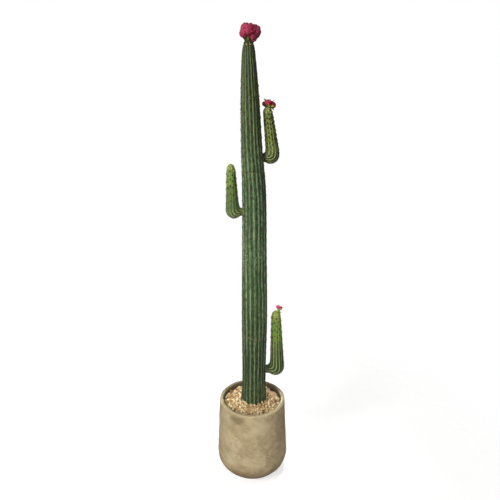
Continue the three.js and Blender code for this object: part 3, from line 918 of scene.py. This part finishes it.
def trunk_pieces():
    """The four stacked trunk sections, and the places of their dark and pale spines."""
    z, sections = trunk_rows()
    axis = np.stack((station_value(z, 2), np.zeros(len(z)), z), -1)
    joints = np.array([start for _, start, _ in TRUNK_SECTIONS[1:]])
    nearest = np.abs(z[:, None] - joints[None]).argmin(1)
    near = np.abs(z - joints[nearest])
    radii = station_value(z, 1) - JOINT_GROOVES[nearest] * np.exp(-near / JOINT_WIDTH)
    ahead = np.tile((1.0, 0, 0), (len(z), 1))
    side = np.tile((0, 1.0, 0), (len(z), 1))
    counts = (TRUNK_RIBS, TRUNK_SAMPLES)
    spines = (TRUNK_PITCH, TRUNK_LOOSE, TRUNK_BUMP, np.interp(z, *SPINE_STRENGTHS))
    widths = np.interp(z, *LINE_WIDTHS)
    grid, furrow, stain, marks, out = ribbed_grid(
        axis, ahead, side, radii, trunk_turn(z), counts, spines, widths, TRUNK_SEED
    )
    line = z[:, None] - SEAM_LINE + SEAM_TILT * (grid - axis[:, None])[..., 0]
    grid = grid - out * SEAM_DEPTH * np.exp(-np.abs(line) / SEAM_WIDTH)[..., None]
    lines = np.zeros((*furrow.shape, 3))
    lines[..., 0] = 7.7 * (np.rint(np.arange(grid.shape[1]) / TRUNK_SAMPLES) % TRUNK_RIBS)
    lines[..., 2] = z[:, None]
    fields = {
        "furrow": furrow * np.clip(0.78 + 0.34 * waves(lines, 0.3, LINE_SEED), 0.3, 1),
        "spot": stain * (z[:, None] < DARK_HIGH),
        "seam": 0.9 * bell(line, SEAM_STAIN) + 0.5 * bell(z - UPPER_SEAM, 2 * MM)[:, None],
        "scuff": bell(z - SCUFF, SCUFF_REACH),
        "tip": ramp(z, TIP_LOW, TIP_HIGH) ** 1.3 * 0.95,
    }
    for name, rows in sections:
        part = {key: values[rows] for key, values in fields.items()}
        piece = tube_piece(f"{name}_skin", grid[rows], TRUNK_LOOK, part)
        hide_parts(name)
    row = int(np.abs(z - PALE_RING).argmin())
    crests = TRUNK_SAMPLES // 2 + TRUNK_SAMPLES * np.arange(1, TRUNK_RIBS, 2)
    pale = [spot_at(grid, out, row, column, 0.8) for column in crests]
    spots = [spot_at(grid, out, *mark) for mark in marks]
    dark = [spot for spot in spots if DARK_LOW < spot[0][2] < DARK_HIGH]
    return dark, pale


def arm_frame(values):
    arm = dict(zip(ARM_KEYS, values))
    for key in ARM_SIZES:
        arm[key] *= MM
    azimuth = math.radians(arm["azimuth"])
    arm["lean"] = math.radians(arm["lean"])
    arm["out"] = np.array((math.cos(azimuth), math.sin(azimuth), 0))
    arm["side"] = np.cross(UP, arm["out"])
    height = np.array([arm["height"]])
    arm["root"] = np.array((station_value(height, 2)[0], 0, arm["height"]))
    arm["trunk"] = station_value(height, 1)[0]
    return arm


def fan_ring(arm, angle):
    """Centre, direction across and radius of a ring in the bend, at an angle round its inner corner."""
    corner = arm["root"] + arm["out"] * (arm["reach"] - arm["belly"] - CORNER_GAP)
    corner = corner + UP * (arm["neck"] + CORNER_GAP)
    level = math.sin(min(angle, QUARTER_TURN))
    radius = lerp(arm["neck"], arm["belly"], level) + arm["swell"] * max(math.sin(2 * angle), 0)
    across = swung(-UP, arm["out"], angle)
    return corner + across * (radius + CORNER_GAP), across, radius


def arm_tip(arm):
    """The arm's tip, with the directions outwards and along the upright."""
    centre, across, _ = fan_ring(arm, QUARTER_TURN + arm["lean"])
    along = np.cross(across, arm["side"])
    return centre + along * (arm["tip"] - centre[2]) / along[2], across, along


def arm_rings(arm):
    """Centres, directions across and radii of all rings, from inside the trunk to the dome."""
    start = fan_ring(arm, 0)
    first = arm["root"] + arm["out"] * arm["trunk"] * NECK_START
    rings = [(lerp(first, start[0], i / NECK_ROWS), *start[1:]) for i in range(NECK_ROWS)]
    rings += [fan_ring(arm, angle) for angle in np.linspace(0, QUARTER_TURN + arm["lean"], BEND_ROWS)]
    base, across, _ = rings[-1]
    tip, _, along = arm_tip(arm)
    length = np.linalg.norm(tip - base)
    dome = length - arm["dome"] * arm["shoulder"]
    for share in np.linspace(0, 1, int(dome / ARM_ROW))[1:]:
        rings.append((base + along * dome * share, across, lerp(arm["belly"], arm["shoulder"], share)))
    for angle in np.linspace(0, QUARTER_TURN, DOME_ROWS)[1:]:
        radius = arm["shoulder"] * max(math.cos(angle), TIP_SHARE)
        rings.append((base + along * lerp(dome, length, math.sin(angle)), across, radius))
    return [np.array(values) for values in zip(*rings)]


def softened(grid, width, share):
    """A grid with its lines along the rows rounded over a width, by a share for each point."""
    smooth = np.empty_like(grid)
    for column in range(grid.shape[1]):
        line = grid[:, column]
        step = np.linalg.norm(np.diff(line, axis=0), axis=1)
        place = np.concatenate(((0,), np.cumsum(step)))
        weight = np.gradient(place) * np.exp(-0.5 * ((place[:, None] - place[None]) / width) ** 2)
        smooth[:, column] = weight @ line / weight.sum(1, keepdims=True)
    return lerp(grid, smooth, share[..., None])


def fitted_to_trunk(grid, arm):
    """An arm's grid with its foot on the trunk's skin, a straight neck and soft corners at the bend."""
    offset = grid[0] - arm["root"]
    skin = station_value(grid[0][:, 2], 1) * FOOT_SHARE
    reach = np.sqrt(np.maximum(skin**2 - (offset @ arm["side"]) ** 2, 0))
    grid[0] += arm["out"] * (reach - offset @ arm["out"])[:, None]
    for i in range(1, NECK_ROWS):
        grid[i] = lerp(grid[0], grid[NECK_ROWS], i / NECK_ROWS)
    bend = NECK_ROWS + BEND_ROWS
    inner = 0.65 - 0.35 * np.cos(circle(grid.shape[1])[0])
    share = np.interp(np.arange(len(grid)), (0, 5, bend + 3, bend + 12), (0, 1, 1, 0))
    return softened(grid, arm["soft"], share[:, None] * inner)


def arm_tints(arm, height, out):
    """Fields of an arm's colours, from the share of the height at each row and the way the skin faces."""
    rows = np.arange(len(height)) - NECK_ROWS
    fade = arm["pale"] * (1 - 0.9 * ramp(height, arm["lines"] - 0.3, arm["lines"]))
    fade *= np.interp(rows, (arm["run"] - 14, arm["run"]), (1, 0.2))
    # Painted light on the front of the arm and painted shade on its sides; the second term darkens the right
    # side and lightens the front-left
    front = np.clip(-out[..., 1], 0, 1)
    painted_light_and_shade = arm["painted_light_and_shade"] * (front - 0.84) / 0.16 * ramp(height, 0, 0.2)[:, None]
    painted_side_shade = np.maximum(np.minimum(front, (0.5 - out[..., 0]) / 0.3), -0.3)
    painted_light_and_shade += arm["painted_side_shade"] * painted_side_shade * np.interp(height, (0, 0.1, 0.4, 0.62), (0, 0.25, 0.35, 1))[:, None]
    return fade, {
        "tip": lerp(arm["low"], arm["glow"], height),
        "olive": arm["olive"],
        "cool": arm["cool"] * ramp(height, 0.69, 0.09) * np.interp(rows, (0, 30), (0.1, 1)),
        "painted_light_and_shade": painted_light_and_shade,
        # Shade at the neck: partly its grey-brown, partly painted shade, and painted light where the value
        # is below zero
        "neck": arm["shade"] * ramp(rows, 5, -5),
    }


def arm_piece(name, arm, seed):
    """One arm from the trunk's skin to its dome, and the places of its dark and pale spines."""
    centres, directions, radii = arm_rings(arm)
    height = ramp(centres[:, 2], arm["height"], arm["tip"])
    rows = np.arange(len(radii)) - NECK_ROWS
    side = np.tile(arm["side"], (len(rows), 1))
    widths = np.interp(rows, (8, 30), (arm["pale_width"], 0.16))
    strength = np.interp(height, (0, 0.3, 0.65, 1), (0.5 * arm["dots"], arm["dots"], 1.0, 1.0))
    counts = (ARM_RIBS, ARM_SAMPLES)
    spines = (arm["pitch"], ARM_LOOSE, ARM_BUMP, strength)
    grid, furrow, stain, marks, out = ribbed_grid(
        centres, directions, side, radii, 0 * radii, counts, spines, widths, seed
    )
    grid = fitted_to_trunk(grid, arm)
    pale_from = arm["tip"] - PALE_TIP
    clear = np.linalg.norm((grid - arm["root"])[..., :2], axis=-1) > STAIN_CLEAR * arm["trunk"]
    fade, fields = arm_tints(arm, height, out)
    fields["furrow"] = furrow * fade[:, None]
    fields["spot"] = stain * clear * (grid[..., 2] < pale_from)
    piece = tube_piece(f"{name}_skin", grid, ARM_LOOK, fields)
    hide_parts(f"{name}_elbow", f"{name}_upright")
    spots = [spot_at(grid, out, *mark) for mark in marks]
    nearest = SPINE_CLEAR * arm["trunk"]
    far = [spot for spot in spots if np.linalg.norm((spot[0] - arm["root"])[:2]) > nearest]
    dark = [spot for spot in far if spot[0][2] < pale_from]
    pale = [spot for spot in far if pale_from <= spot[0][2] < arm["tip"] - 3 * MM]
    return dark, pale


def spine_pieces(name, spots, slot, look, seed, size, needles):
    """Woolly cushions, mostly with short flat spines, at every spine place of one kind."""
    rng = np.random.default_rng(seed)
    cushions, spines = Joined(), Joined()
    for place, normal, along, share in spots:
        across = np.cross(along, normal)
        scale = size * max(share, 0.45) * rng.uniform(0.85, 1.15)
        shape = BALL_SMALL[0] * rng.uniform(0.85, 1.15, (len(BALL_SMALL[0]), 1))
        local = shape * CUSHION * scale
        points = place + local[:, :1] * across + local[:, 1:2] * along + local[:, 2:] * normal
        cushions.add(points, BALL_SMALL[1])
        for _ in range(rng.integers(*NEEDLE_COUNT) if needles else 0):
            angle = rng.uniform(0, FULL_TURN)
            lean = rng.uniform(*NEEDLE_LEAN)
            aim = unit(normal + lean * swung(across, along, angle))
            root = place + normal * 0.3 * MM * scale
            first = unit(np.cross(aim, (0.2, 0.4, 0.9)))
            second = np.cross(aim, first)
            width = NEEDLE_WIDTH * scale
            corners = [root + width * swung(first, second, turn) for turn in NEEDLE_CORNERS]
            point = root + aim * rng.uniform(*NEEDLE_LENGTH) * MM * scale
            spines.add([*corners, point], NEEDLE_FACES)
    for kind, joined in (("cushions", cushions), ("spines", spines)):
        if joined.count:
            piece = joined.piece(f"{name}_{kind}", [SPINE_LOOKS[look]], smooth=kind == "cushions")


# Pot and gravel


def arc(start, control, end, count):
    """Points along a curve that is pulled towards its control point."""
    t = np.linspace(0, 1, count)[:, None]
    start, control, end = (np.array(point) for point in (start, control, end))
    return start * (1 - t) ** 2 + control * 2 * t * (1 - t) + end * t**2


def straight(start, end, count):
    return lerp(np.array(start), np.array(end), np.linspace(0, 1, count)[:, None])


def pot_outline():
    """Radii and heights of the pot's wall, from under its foot over the lip to its inner floor."""
    turn = np.linspace(-HEEL_ANGLE, 0, 22)
    belly = (BOWL_RADIUS + BOWL_ACROSS * np.cos(turn), BELLY_HEIGHT + BOWL_DROP * np.sin(turn))
    belly = np.stack(belly, -1)
    lip = POT_HEIGHT - LIP_ROUND
    outside, inside = wall_radius(POT_HEIGHT, 0), wall_radius(POT_HEIGHT, WALL)
    outer, inner = (wall_radius(lip, 0), lip), (wall_radius(lip, WALL), lip)
    rim_out, rim_in = (outside - LIP_ROUND, POT_HEIGHT), (inside + LIP_ROUND, POT_HEIGHT)
    cavity = BELLY_RADIUS - WALL
    parts = (
        straight((MIDDLE_RADIUS, 0), (FOOT_RADIUS, 0), 14),
        arc((FOOT_RADIUS, 0), (HEEL_REACH, 0), belly[0], 8),
        belly,
        straight((BELLY_RADIUS, BELLY_HEIGHT), outer, 62),
        arc(outer, (outside, POT_HEIGHT), rim_out, 7),
        straight(rim_out, rim_in, 4),
        arc(rim_in, (inside, POT_HEIGHT), inner, 7),
        straight(inner, (wall_radius(BELLY_HEIGHT, WALL), BELLY_HEIGHT), 26),
        arc((cavity, BELLY_HEIGHT), (cavity, FLOOR), (BOWL_RADIUS, FLOOR), 8),
        straight((BOWL_RADIUS, FLOOR), (MIDDLE_RADIUS, FLOOR), 6),
    )
    return np.concatenate([parts[0], *(part[1:] for part in parts[1:])])


def pot_piece():
    outline = pot_outline()
    around = circle(POT_COLUMNS)[1]
    grid = spun(outline, around)
    slope = unit(np.gradient(outline, axis=0))
    normal = spun(np.stack((slope[:, 1], -slope[:, 0]), -1), around)
    shown = ramp(grid[..., 2], SMOOTH_BELOW, UNEVEN_ABOVE)
    grid += normal * (uneven(grid, POT_WAVES) * shown * MM)[..., None]
    height = grid[..., 2]
    top = ramp(height, LIP_LOW, LIP_HIGH)
    inner = np.zeros((len(outline), 1))
    inner[outline[:, 1].argmax() + 5 :] = 1
    angle = np.arctan2(grid[..., 1], grid[..., 0])
    marks = np.zeros(height.shape)
    for share, turn, level, width, size in POT_MARKS:
        marks += share * bell(angle - turn, width) * bell(height - level, size)
    # Painted highlight: a thin pale line along the rim's inner edge at the right front
    edge = bell(np.linalg.norm(grid[..., :2], axis=-1) - HIGHLIGHT_RADIUS, HIGHLIGHT_WIDTH)
    # Painted shade: the lip darker towards the rear, most at the right rear
    shade = 0.65 + 0.35 * np.clip(np.cos(angle) + 0.4, 0, 1)
    fields = {
        "lip": top,
        "rear": top * np.clip(1.6 * np.sin(angle), 0, 1) * shade,
        # Painted shade: the inner wall darker inside the pot
        "inside": inner,
        "stain": marks * (1 - inner),
        "rim_highlight": top * edge * bell(angle - HIGHLIGHT_ANGLE, HIGHLIGHT_SPREAD),
    }
    piece = tube_piece("cement_pot", grid, POT_LOOK, fields)
    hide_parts("pot")


def foot_radius(angle):
    """Radius of the trunk's foot at an angle round the trunk's axis."""
    return TRUNK_STATIONS[0, 1] * rib_share(angle - FRONT, TRUNK_RIBS)


def bed_height(radius):
    return lerp(BED_EDGE, BED_CROWN, ramp(radius, wall_radius(BED_EDGE, WALL), BED_SHOULDER))


def bareness(x, y):
    """How bare of stones the bed is: a smooth patch at the front and a clod at the right rear."""
    front = PATCH_SHARE * bell(x, PATCH_SIZE[0]) * bell(y - PATCH_Y, PATCH_SIZE[1])
    aside, behind = x - CLOD_PLACE[0], y - CLOD_PLACE[1]
    along = CLOD_TURN[0] * aside - CLOD_TURN[1] * behind
    across = CLOD_TURN[1] * aside + CLOD_TURN[0] * behind
    return np.maximum(front, bell(along, CLOD_SIZE[0]) * bell(across, CLOD_SIZE[1]))


def bed_piece():
    """The filling: an uneven sandy top from the trunk's foot to the wall, on a closed body."""
    angles, around = circle(BED_COLUMNS)
    foot = around * (foot_radius(angles) + CLEAR)[:, None] + (TRUNK_STATIONS[0, 2], 0)
    edge = wall_radius(BED_EDGE, WALL + CLEAR)
    share = np.linspace(0, 1, BED_RINGS)[:, None, None]
    top = np.empty((BED_RINGS, BED_COLUMNS, 3))
    top[..., :2] = lerp(foot[None], around[None] * edge, share)
    top[..., 2] = bed_height(np.linalg.norm(top[..., :2], axis=-1))
    bare = bareness(top[..., 0], top[..., 1])
    bumps = uneven(top, BED_WAVES) + bare * (2.5 + uneven(top, CLOD_WAVES))
    top[..., 2] += bumps * MM * np.clip(share[..., 0] * 8, 0, 1)
    hole = np.concatenate((foot, np.full((BED_COLUMNS, 1), TRUNK_STATIONS[0, 0] - CLEAR)), 1)[None]
    cavity = wall_radius(BELLY_HEIGHT, WALL + CLEAR)
    base = FLOOR + CLEAR
    down = (
        straight((edge, BED_EDGE), (cavity, BELLY_HEIGHT), 8)[1:],
        arc((cavity, BELLY_HEIGHT), (cavity, base), (BOWL_RADIUS - CLEAR, base), 7)[1:],
    )
    grid = np.concatenate((hole, top, spun(np.concatenate(down), around)))[::-1]
    clod = np.zeros(grid.shape[:2])
    # The clod's paler soil, with painted light on its right side where the trunk's shadow falls
    clod[1 : 1 + BED_RINGS] = bare * ramp(top[..., 0], 20 * MM, 50 * MM)
    piece = tube_piece("bed_filling", grid, SAND_LOOK, {"clod": clod[::-1]}, mapped=False)
    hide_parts("gravel_bed")


def stone_shape(rng):
    """A crushed stone: a ball cut by random planes, with soft corners."""
    points = BALL_FINE[0]
    planes = unit(rng.normal(size=(rng.integers(*STONE_CUTS), 3)))
    heights = rng.uniform(*CUT_HEIGHTS, len(planes))
    toward = np.maximum(points @ planes.T, 1e-3)
    reach = np.minimum((heights / toward).min(1), 1.12)
    return points * reach[:, None]


def turned_about(points, rng):
    """Points under a random rotation."""
    a, b, c, d = unit(rng.normal(size=4))
    matrix = np.array(
        (
            (1 - 2 * (c * c + d * d), 2 * (b * c - a * d), 2 * (b * d + a * c)),
            (2 * (b * c + a * d), 1 - 2 * (b * b + d * d), 2 * (c * d - a * b)),
            (2 * (b * d - a * c), 2 * (c * d + a * b), 1 - 2 * (b * b + c * c)),
        )
    )
    return points @ matrix.T


def gravel_pieces():
    """Loose stones on the bed, in two layers, dealt out over a few tones."""
    rng = np.random.default_rng(STONE_SEED)
    groups = [Joined() for _ in STONE_LOOKS]
    for spacing, tries, lift, clumps, sizes, shares in STONE_LAYERS:
        placed = np.empty((0, 2))
        for _ in range(tries):
            radius = math.sqrt(rng.uniform(*STONE_REACH))
            angle = rng.uniform(0, FULL_TURN)
            spot = np.array((radius * math.cos(angle), radius * math.sin(angle)))
            offset = spot - (TRUNK_STATIONS[0, 2], 0)
            size = rng.uniform(*sizes) * MM
            if np.linalg.norm(offset) < foot_radius(math.atan2(offset[1], offset[0])) + 0.5 * size:
                continue
            if radius > wall_radius(BED_EDGE, WALL) - 0.8 * size:
                continue
            if rng.uniform() < 2.2 * bareness(*spot) - 0.3:
                continue
            if waves(np.array((*spot, 0.0)), 0.06, CLUMP_SEED) > clumps:
                continue
            if len(placed) and np.linalg.norm(placed - spot, axis=1).min() < spacing * size / MEAN_RADIUS:
                continue
            placed = np.vstack((placed, spot))
            shape = stone_shape(rng) * size * (1, rng.uniform(0.78, 1.0), rng.uniform(0.62, 0.92))
            shape = turned_about(shape, rng)
            height = bed_height(radius) + (lift + rng.uniform(-0.8, 0.8)) * MM
            tone = rng.choice(len(groups), p=shares)
            groups[tone].add(shape + (*spot, height), BALL_FINE[1])
    for group, look in zip(groups, STONE_LOOKS):
        piece = group.piece(f"gravel_{look.name}", [look], smooth=False)


# Blooms


def petal_head(joined, seed, thickness, centre, axis, radii, count, span, tone, down=1.75):
    """A ruffled head: petals that overlap like shingles round a core, with wavy rims.

    Radii and thickness are in mm, the span of a petal in degrees.
    """
    rng = np.random.default_rng(seed)
    axis = unit(axis)
    first = unit(np.cross(axis, (0.2, 0.95, 0.1)))
    second = np.cross(axis, first)
    radii = MM * np.asarray(radii)
    joined.add(BALL_SMALL[0] * radii * CORE_SHARE + centre, BALL_SMALL[1], tone(np.zeros(3), rng), 0.2)
    s = np.linspace(0, 1, PETAL_ROWS)[:, None]
    v = np.linspace(-1, 1, PETAL_COLUMNS)[None]
    share = np.tile(np.repeat(s, v.size), 2)
    for i in range(count):
        height = 1 - down * (i + 0.5) / count
        level = math.sqrt(1 - height * height)
        around = i * GOLDEN_TURN + rng.uniform(-0.2, 0.2)
        out = level * swung(first, second, around) + height * axis
        rim = unit(axis - out * height)
        turn = rng.uniform(-1.0, 1.0)
        rim = swung(rim, np.cross(out, rim), turn)
        side = np.cross(out, rim)
        spread = math.radians(span) * rng.uniform(0.85, 1.15)
        waviness, shift = rng.uniform(5, 8), rng.uniform(0, FULL_TURN)
        wavy = np.sin(waviness * v + shift)
        tilt = spread * ((s - 0.5) * 2 - 0.4 * v**2 * s + 0.12 * s * wavy)
        swing = v * spread * 1.2 * (0.45 + 0.55 * np.sin(math.pi * (0.1 + 0.6 * s)))
        lift = 0.89 + 0.1 * s**2 + 0.07 * s**2 * wavy + rng.uniform(-0.02, 0.02)
        aim = (np.cos(tilt) * np.cos(swing))[..., None] * out + np.sin(tilt)[..., None] * rim
        aim = aim + (np.sin(swing) * np.cos(tilt))[..., None] * side
        points, faces = thick_sheet(aim * lift[..., None] * radii + centre, thickness * MM)
        joined.add(points, faces, tone(out, rng), share)


def petal_heads(heads, seed, thickness):
    """Ruffled heads gathered for one piece, each with a seed of its own."""
    petals = Joined()
    for number, head in enumerate(heads):
        petal_head(petals, seed + number, thickness, *head)
    return petals


def painted_light_tone(painted_light_lift):
    """A way to choose a petal's tone, partly at random and partly as painted light and shade: paler where it
    faces left, down or the viewer.
    """

    def tone(out, rng):
        score = painted_light_lift - 0.4 * out[0] - 0.35 * out[1] - 0.45 * out[2] + rng.normal(0, 0.3)
        return 0 if score > 0.3 else 1 if score > -0.25 else 2

    return tone


def bloom_pieces():
    """The large bloom on the trunk's tip with its green cup."""
    heads = [(MM * np.array(centre), *head, painted_light_tone(painted_light_lift)) for centre, *head, painted_light_lift in BLOOM_HEADS]
    petals = petal_heads(heads, BLOOM_SEED, BLOOM_THICKNESS)
    piece = petals.piece("bloom_petals", list(PETAL_LOOKS))
    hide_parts("top_bloom")
    greens = Joined()
    for i in range(CUP_LEAVES):
        angle = -1.75 + i * FULL_TURN / CUP_LEAVES
        out = np.array((math.cos(angle), math.sin(angle), 0))
        blade = leaf(CUP_BASE + out * 9.5 * MM, out * 0.45 + UP, out, 14, 9, 0.12)
        # The front leaf takes the paler olive as a painted highlight
        greens.add(*blade, 2 if i == 0 else 1)
    greens.add(*leaf(CUP_BASE + (-0.009, -0.004, 0.006), (-1, -0.3, 0.35), UP, 15, 7, 0.1), 1)
    greens.add(*rod(CUP_BASE - UP * 2 * MM, CUP_BASE + UP * 16 * MM, 10 * MM, 13 * MM, 20, 8), 1)
    greens = greens.piece("bloom_cup_leaves", list(LEAF_LOOKS))


def arm_place(arm):
    """A way to name a point near an arm's tip: outwards, along the arm and to the rear, in mm."""
    tip, out, along = arm_tip(arm)
    side = np.cross(along, out)

    def place(outward, upward, rearward=0.0):
        return tip + (out * outward + along * upward + side * rearward) * MM

    def turn(outward, upward, rearward=0.0):
        return unit(out * outward + along * upward + side * rearward)

    return place, turn


def flower_pieces(arm):
    """The flower with its leaves on the upper right arm."""
    place, turn = arm_place(arm)

    def bright(out, rng):
        return 1 if out[2] > 0.62 or rng.uniform() < 0.12 else 0

    def mixed(out, rng):
        return 1 if rng.uniform() < 0.35 else 0

    def deep(out, rng):
        return 1

    heads = (
        (place(4.5, 9.5), turn(0, 1, -0.1), (13, 12.5, 11.5), 15, FLOWER_SPAN, bright),
        (place(21.5, 1.5), turn(0.9, 0.3), (7.5, 8, 10.5), 9, FLOWER_SPAN, mixed),
        (place(-8, 10.5), turn(-1, 0.4), (7, 7, 6.5), 7, FLOWER_SPAN, mixed),
        (place(15.5, 7.5), turn(0.4, 0.8), (6.8, 7, 7.5), 8, FLOWER_SPAN, deep),
    )
    petals = petal_heads(heads, FLOWER_SEED, FLOWER_THICKNESS)
    piece = petals.piece("arm_flower_petals", list(FLOWER_LOOKS[:2]))
    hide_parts("upper_right_flower")
    greens = Joined()
    for start, direction, length, width, tone in FLOWER_LEAVES:
        facing = turn(direction[0], 0.3, direction[2] - 0.6)
        greens.add(*leaf(place(*start), turn(*direction), facing, length, width, 0.1), tone)
    greens.add(*rod(place(0, -4), place(3, 7), 7 * MM, 9 * MM, 16, 8), 1)
    greens = greens.piece("arm_flower_leaves", list(LEAF_LOOKS))


def bud_pieces(arm):
    """Two buds with a stem and a leaf sprig on the lower right arm."""
    place, turn = arm_place(arm)

    def pink(out, rng):
        return 0 if out[0] > 0.45 and rng.uniform() < 0.6 else 2

    def red(out, rng):
        return 2 if rng.uniform() > 0.65 else 0

    heads = (
        (place(8, 13), turn(0.1, 1), (7.4, 7.4, 7.8), 10, 46, pink),
        (place(18.5, 10), turn(0.9, 1), (5.6, 5.6, 5.6), 8, 50, red, 1.0),
    )
    petals = petal_heads(heads, BUD_SEED, BUD_THICKNESS)
    piece = petals.piece("arm_bud_petals", list(FLOWER_LOOKS))
    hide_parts("lower_right_buds")
    greens = Joined()
    for end in (place(8.5, 7), place(15.5, 4)):
        greens.add(*rod(place(8.5, -9), end, 3.0 * MM, 2.6 * MM, 10, 7))
    greens.add(BALL_SMALL[0] * 5.6 * MM + place(17, 7), BALL_SMALL[1])
    for count, first, root, outward, spread, length, width, curl in BUD_WHORLS:
        for i in range(count):
            angle = first + i * FULL_TURN / count
            lean = turn(outward + spread * math.cos(angle), 1, spread * math.sin(angle))
            facing = turn(math.cos(angle), 0.2, math.sin(angle))
            greens.add(*leaf(place(*root), lean, facing, length, width, curl), int(angle == 0))
    for start, direction, length in BUD_SPRIG:
        greens.add(*leaf(place(*start), turn(*direction), turn(0, 1, -0.5), length, 5, 0.12))
    greens = greens.piece("arm_bud_leaves", list(LEAF_LOOKS))


# The plant in its pot

pot_piece()
bed_piece()
gravel_pieces()
trunk_dark, trunk_pale = trunk_pieces()
arms = {name: arm_frame(values) for name, values in ARMS.items()}
arm_dark, arm_pale = [], []
for number, (name, arm) in enumerate(arms.items()):
    dark, pale = arm_piece(name, arm, ARM_SEED + number)
    arm_dark += dark
    arm_pale += pale
    joint = arm["root"] + arm["out"] * arm["trunk"]
    trunk_dark = [spot for spot in trunk_dark if np.linalg.norm(spot[0] - joint) > arm["neck"] + 3 * MM]
spine_kinds = (
    ("trunk", trunk_dark, "trunk", 0, 1.08, True),
    ("trunk_tip", trunk_pale, "trunk", 2, 1.1, False),
    ("arm", arm_dark, "arm", 1, 1.15, True),
    ("arm_tip", arm_pale, "arm", 2, 1.2, False),
)
for number, (name, spots, slot, look, size, needles) in enumerate(spine_kinds):
    spine_pieces(name, spots, slot, look, SPINE_SEED + number, size, needles)
bloom_pieces()
flower_pieces(arms["upper_right_arm"])
bud_pieces(arms["lower_right_arm"])


# Floor, light and camera


def floor_look():
    """A pale floor that fades out into the white surround."""
    look = Look("pale_floor")
    cloud = look.noise(3, 4, 0.5)
    colour = look.blend(look.span(cloud, 0.3, 0.7), (200, 200, 199), (206, 206, 205))
    look.shader.inputs["Emission Color"].default_value = (1, 1, 1, 1)
    look.shader.inputs["Emission Strength"].default_value = 0.6
    look.finish(colour, (cloud, 0.3, 0.7, 0.7, 0.9), look.noise(300, 2), 0.2, 0.1, 0.1)
    away = look.node("VectorMath", {0: look.place})
    away.operation = "LENGTH"
    faded = look.span(away.outputs["Value"], 0.45, 1.3)
    gone = look.node("BsdfTransparent")
    mixed = look.node("MixShader", {0: faded, 1: look.shader.outputs[0], 2: gone.outputs[0]})
    look.put(look.tree.nodes["Material Output"].inputs["Surface"], mixed.outputs[0])
    return look.material


def floor_piece():
    grid = spun(np.stack((FLOOR_RADII, 0 * FLOOR_RADII), -1), circle(FLOOR_COLUMNS)[1])
    points = np.concatenate((grid.reshape(-1, 3), np.zeros((1, 3))))
    faces = grid_faces(len(FLOOR_RADII), FLOOR_COLUMNS, True)[:, ::-1].tolist()
    faces += [(len(points) - 1, j, (j + 1) % FLOOR_COLUMNS) for j in range(FLOOR_COLUMNS)]
    mesh = bpy.data.meshes.new("floor")
    mesh.from_pydata(points.tolist(), [], faces)
    mesh.materials.append(floor_look())
    floor = bpy.data.objects.new("floor", mesh)
    bpy.context.scene.collection.objects.link(floor)
    floor.visible_diffuse = False
    floor.visible_glossy = False


def add_light(name, place, aim, size, power, tint, spread):
    lamp = bpy.data.lights.new(name, "AREA")
    lamp.spread = math.radians(spread)
    lamp.shape = "DISK"
    lamp.size = size
    lamp.energy = power
    lamp.color = tint
    light = bpy.data.objects.new(name, lamp)
    light.location = place
    light.rotation_euler = (Vector(aim) - Vector(place)).to_track_quat("-Z", "Y").to_euler()
    bpy.context.scene.collection.objects.link(light)


def add_world():
    """A surround that looks white and lights the plant softly."""
    world = bpy.data.worlds.new("studio")
    world.use_nodes = True
    tree = world.node_tree
    tree.nodes.clear()
    mixed = tree.nodes.new("ShaderNodeMixShader")
    path = tree.nodes.new("ShaderNodeLightPath")
    tree.links.new(path.outputs["Is Camera Ray"], mixed.inputs[0])
    for key, colour, strength in ((1, (1.0, 0.99, 0.97, 1), 0.192), (2, (1, 1, 1, 1), 1.0)):
        shade = tree.nodes.new("ShaderNodeBackground")
        shade.inputs["Color"].default_value = colour
        shade.inputs["Strength"].default_value = strength
        tree.links.new(shade.outputs[0], mixed.inputs[key])
    output = tree.nodes.new("ShaderNodeOutputWorld")
    tree.links.new(mixed.outputs[0], output.inputs["Surface"])
    bpy.context.scene.world = world


floor_piece()
add_world()
for name, values in LIGHTS.items():
    add_light(name, *values)

camera = bpy.data.objects.new("camera", bpy.data.cameras.new("camera"))
camera.data.lens = 32.98
camera.data.sensor_width = 36
camera.data.clip_start = 0.05
camera.location = (-0.0088, -1.5275, 1.3251)
camera.rotation_euler = (math.radians(73.73), 0, 0)
bpy.context.scene.collection.objects.link(camera)
bpy.context.scene.camera = camera
bpy.context.scene.view_settings.view_transform = "Standard"
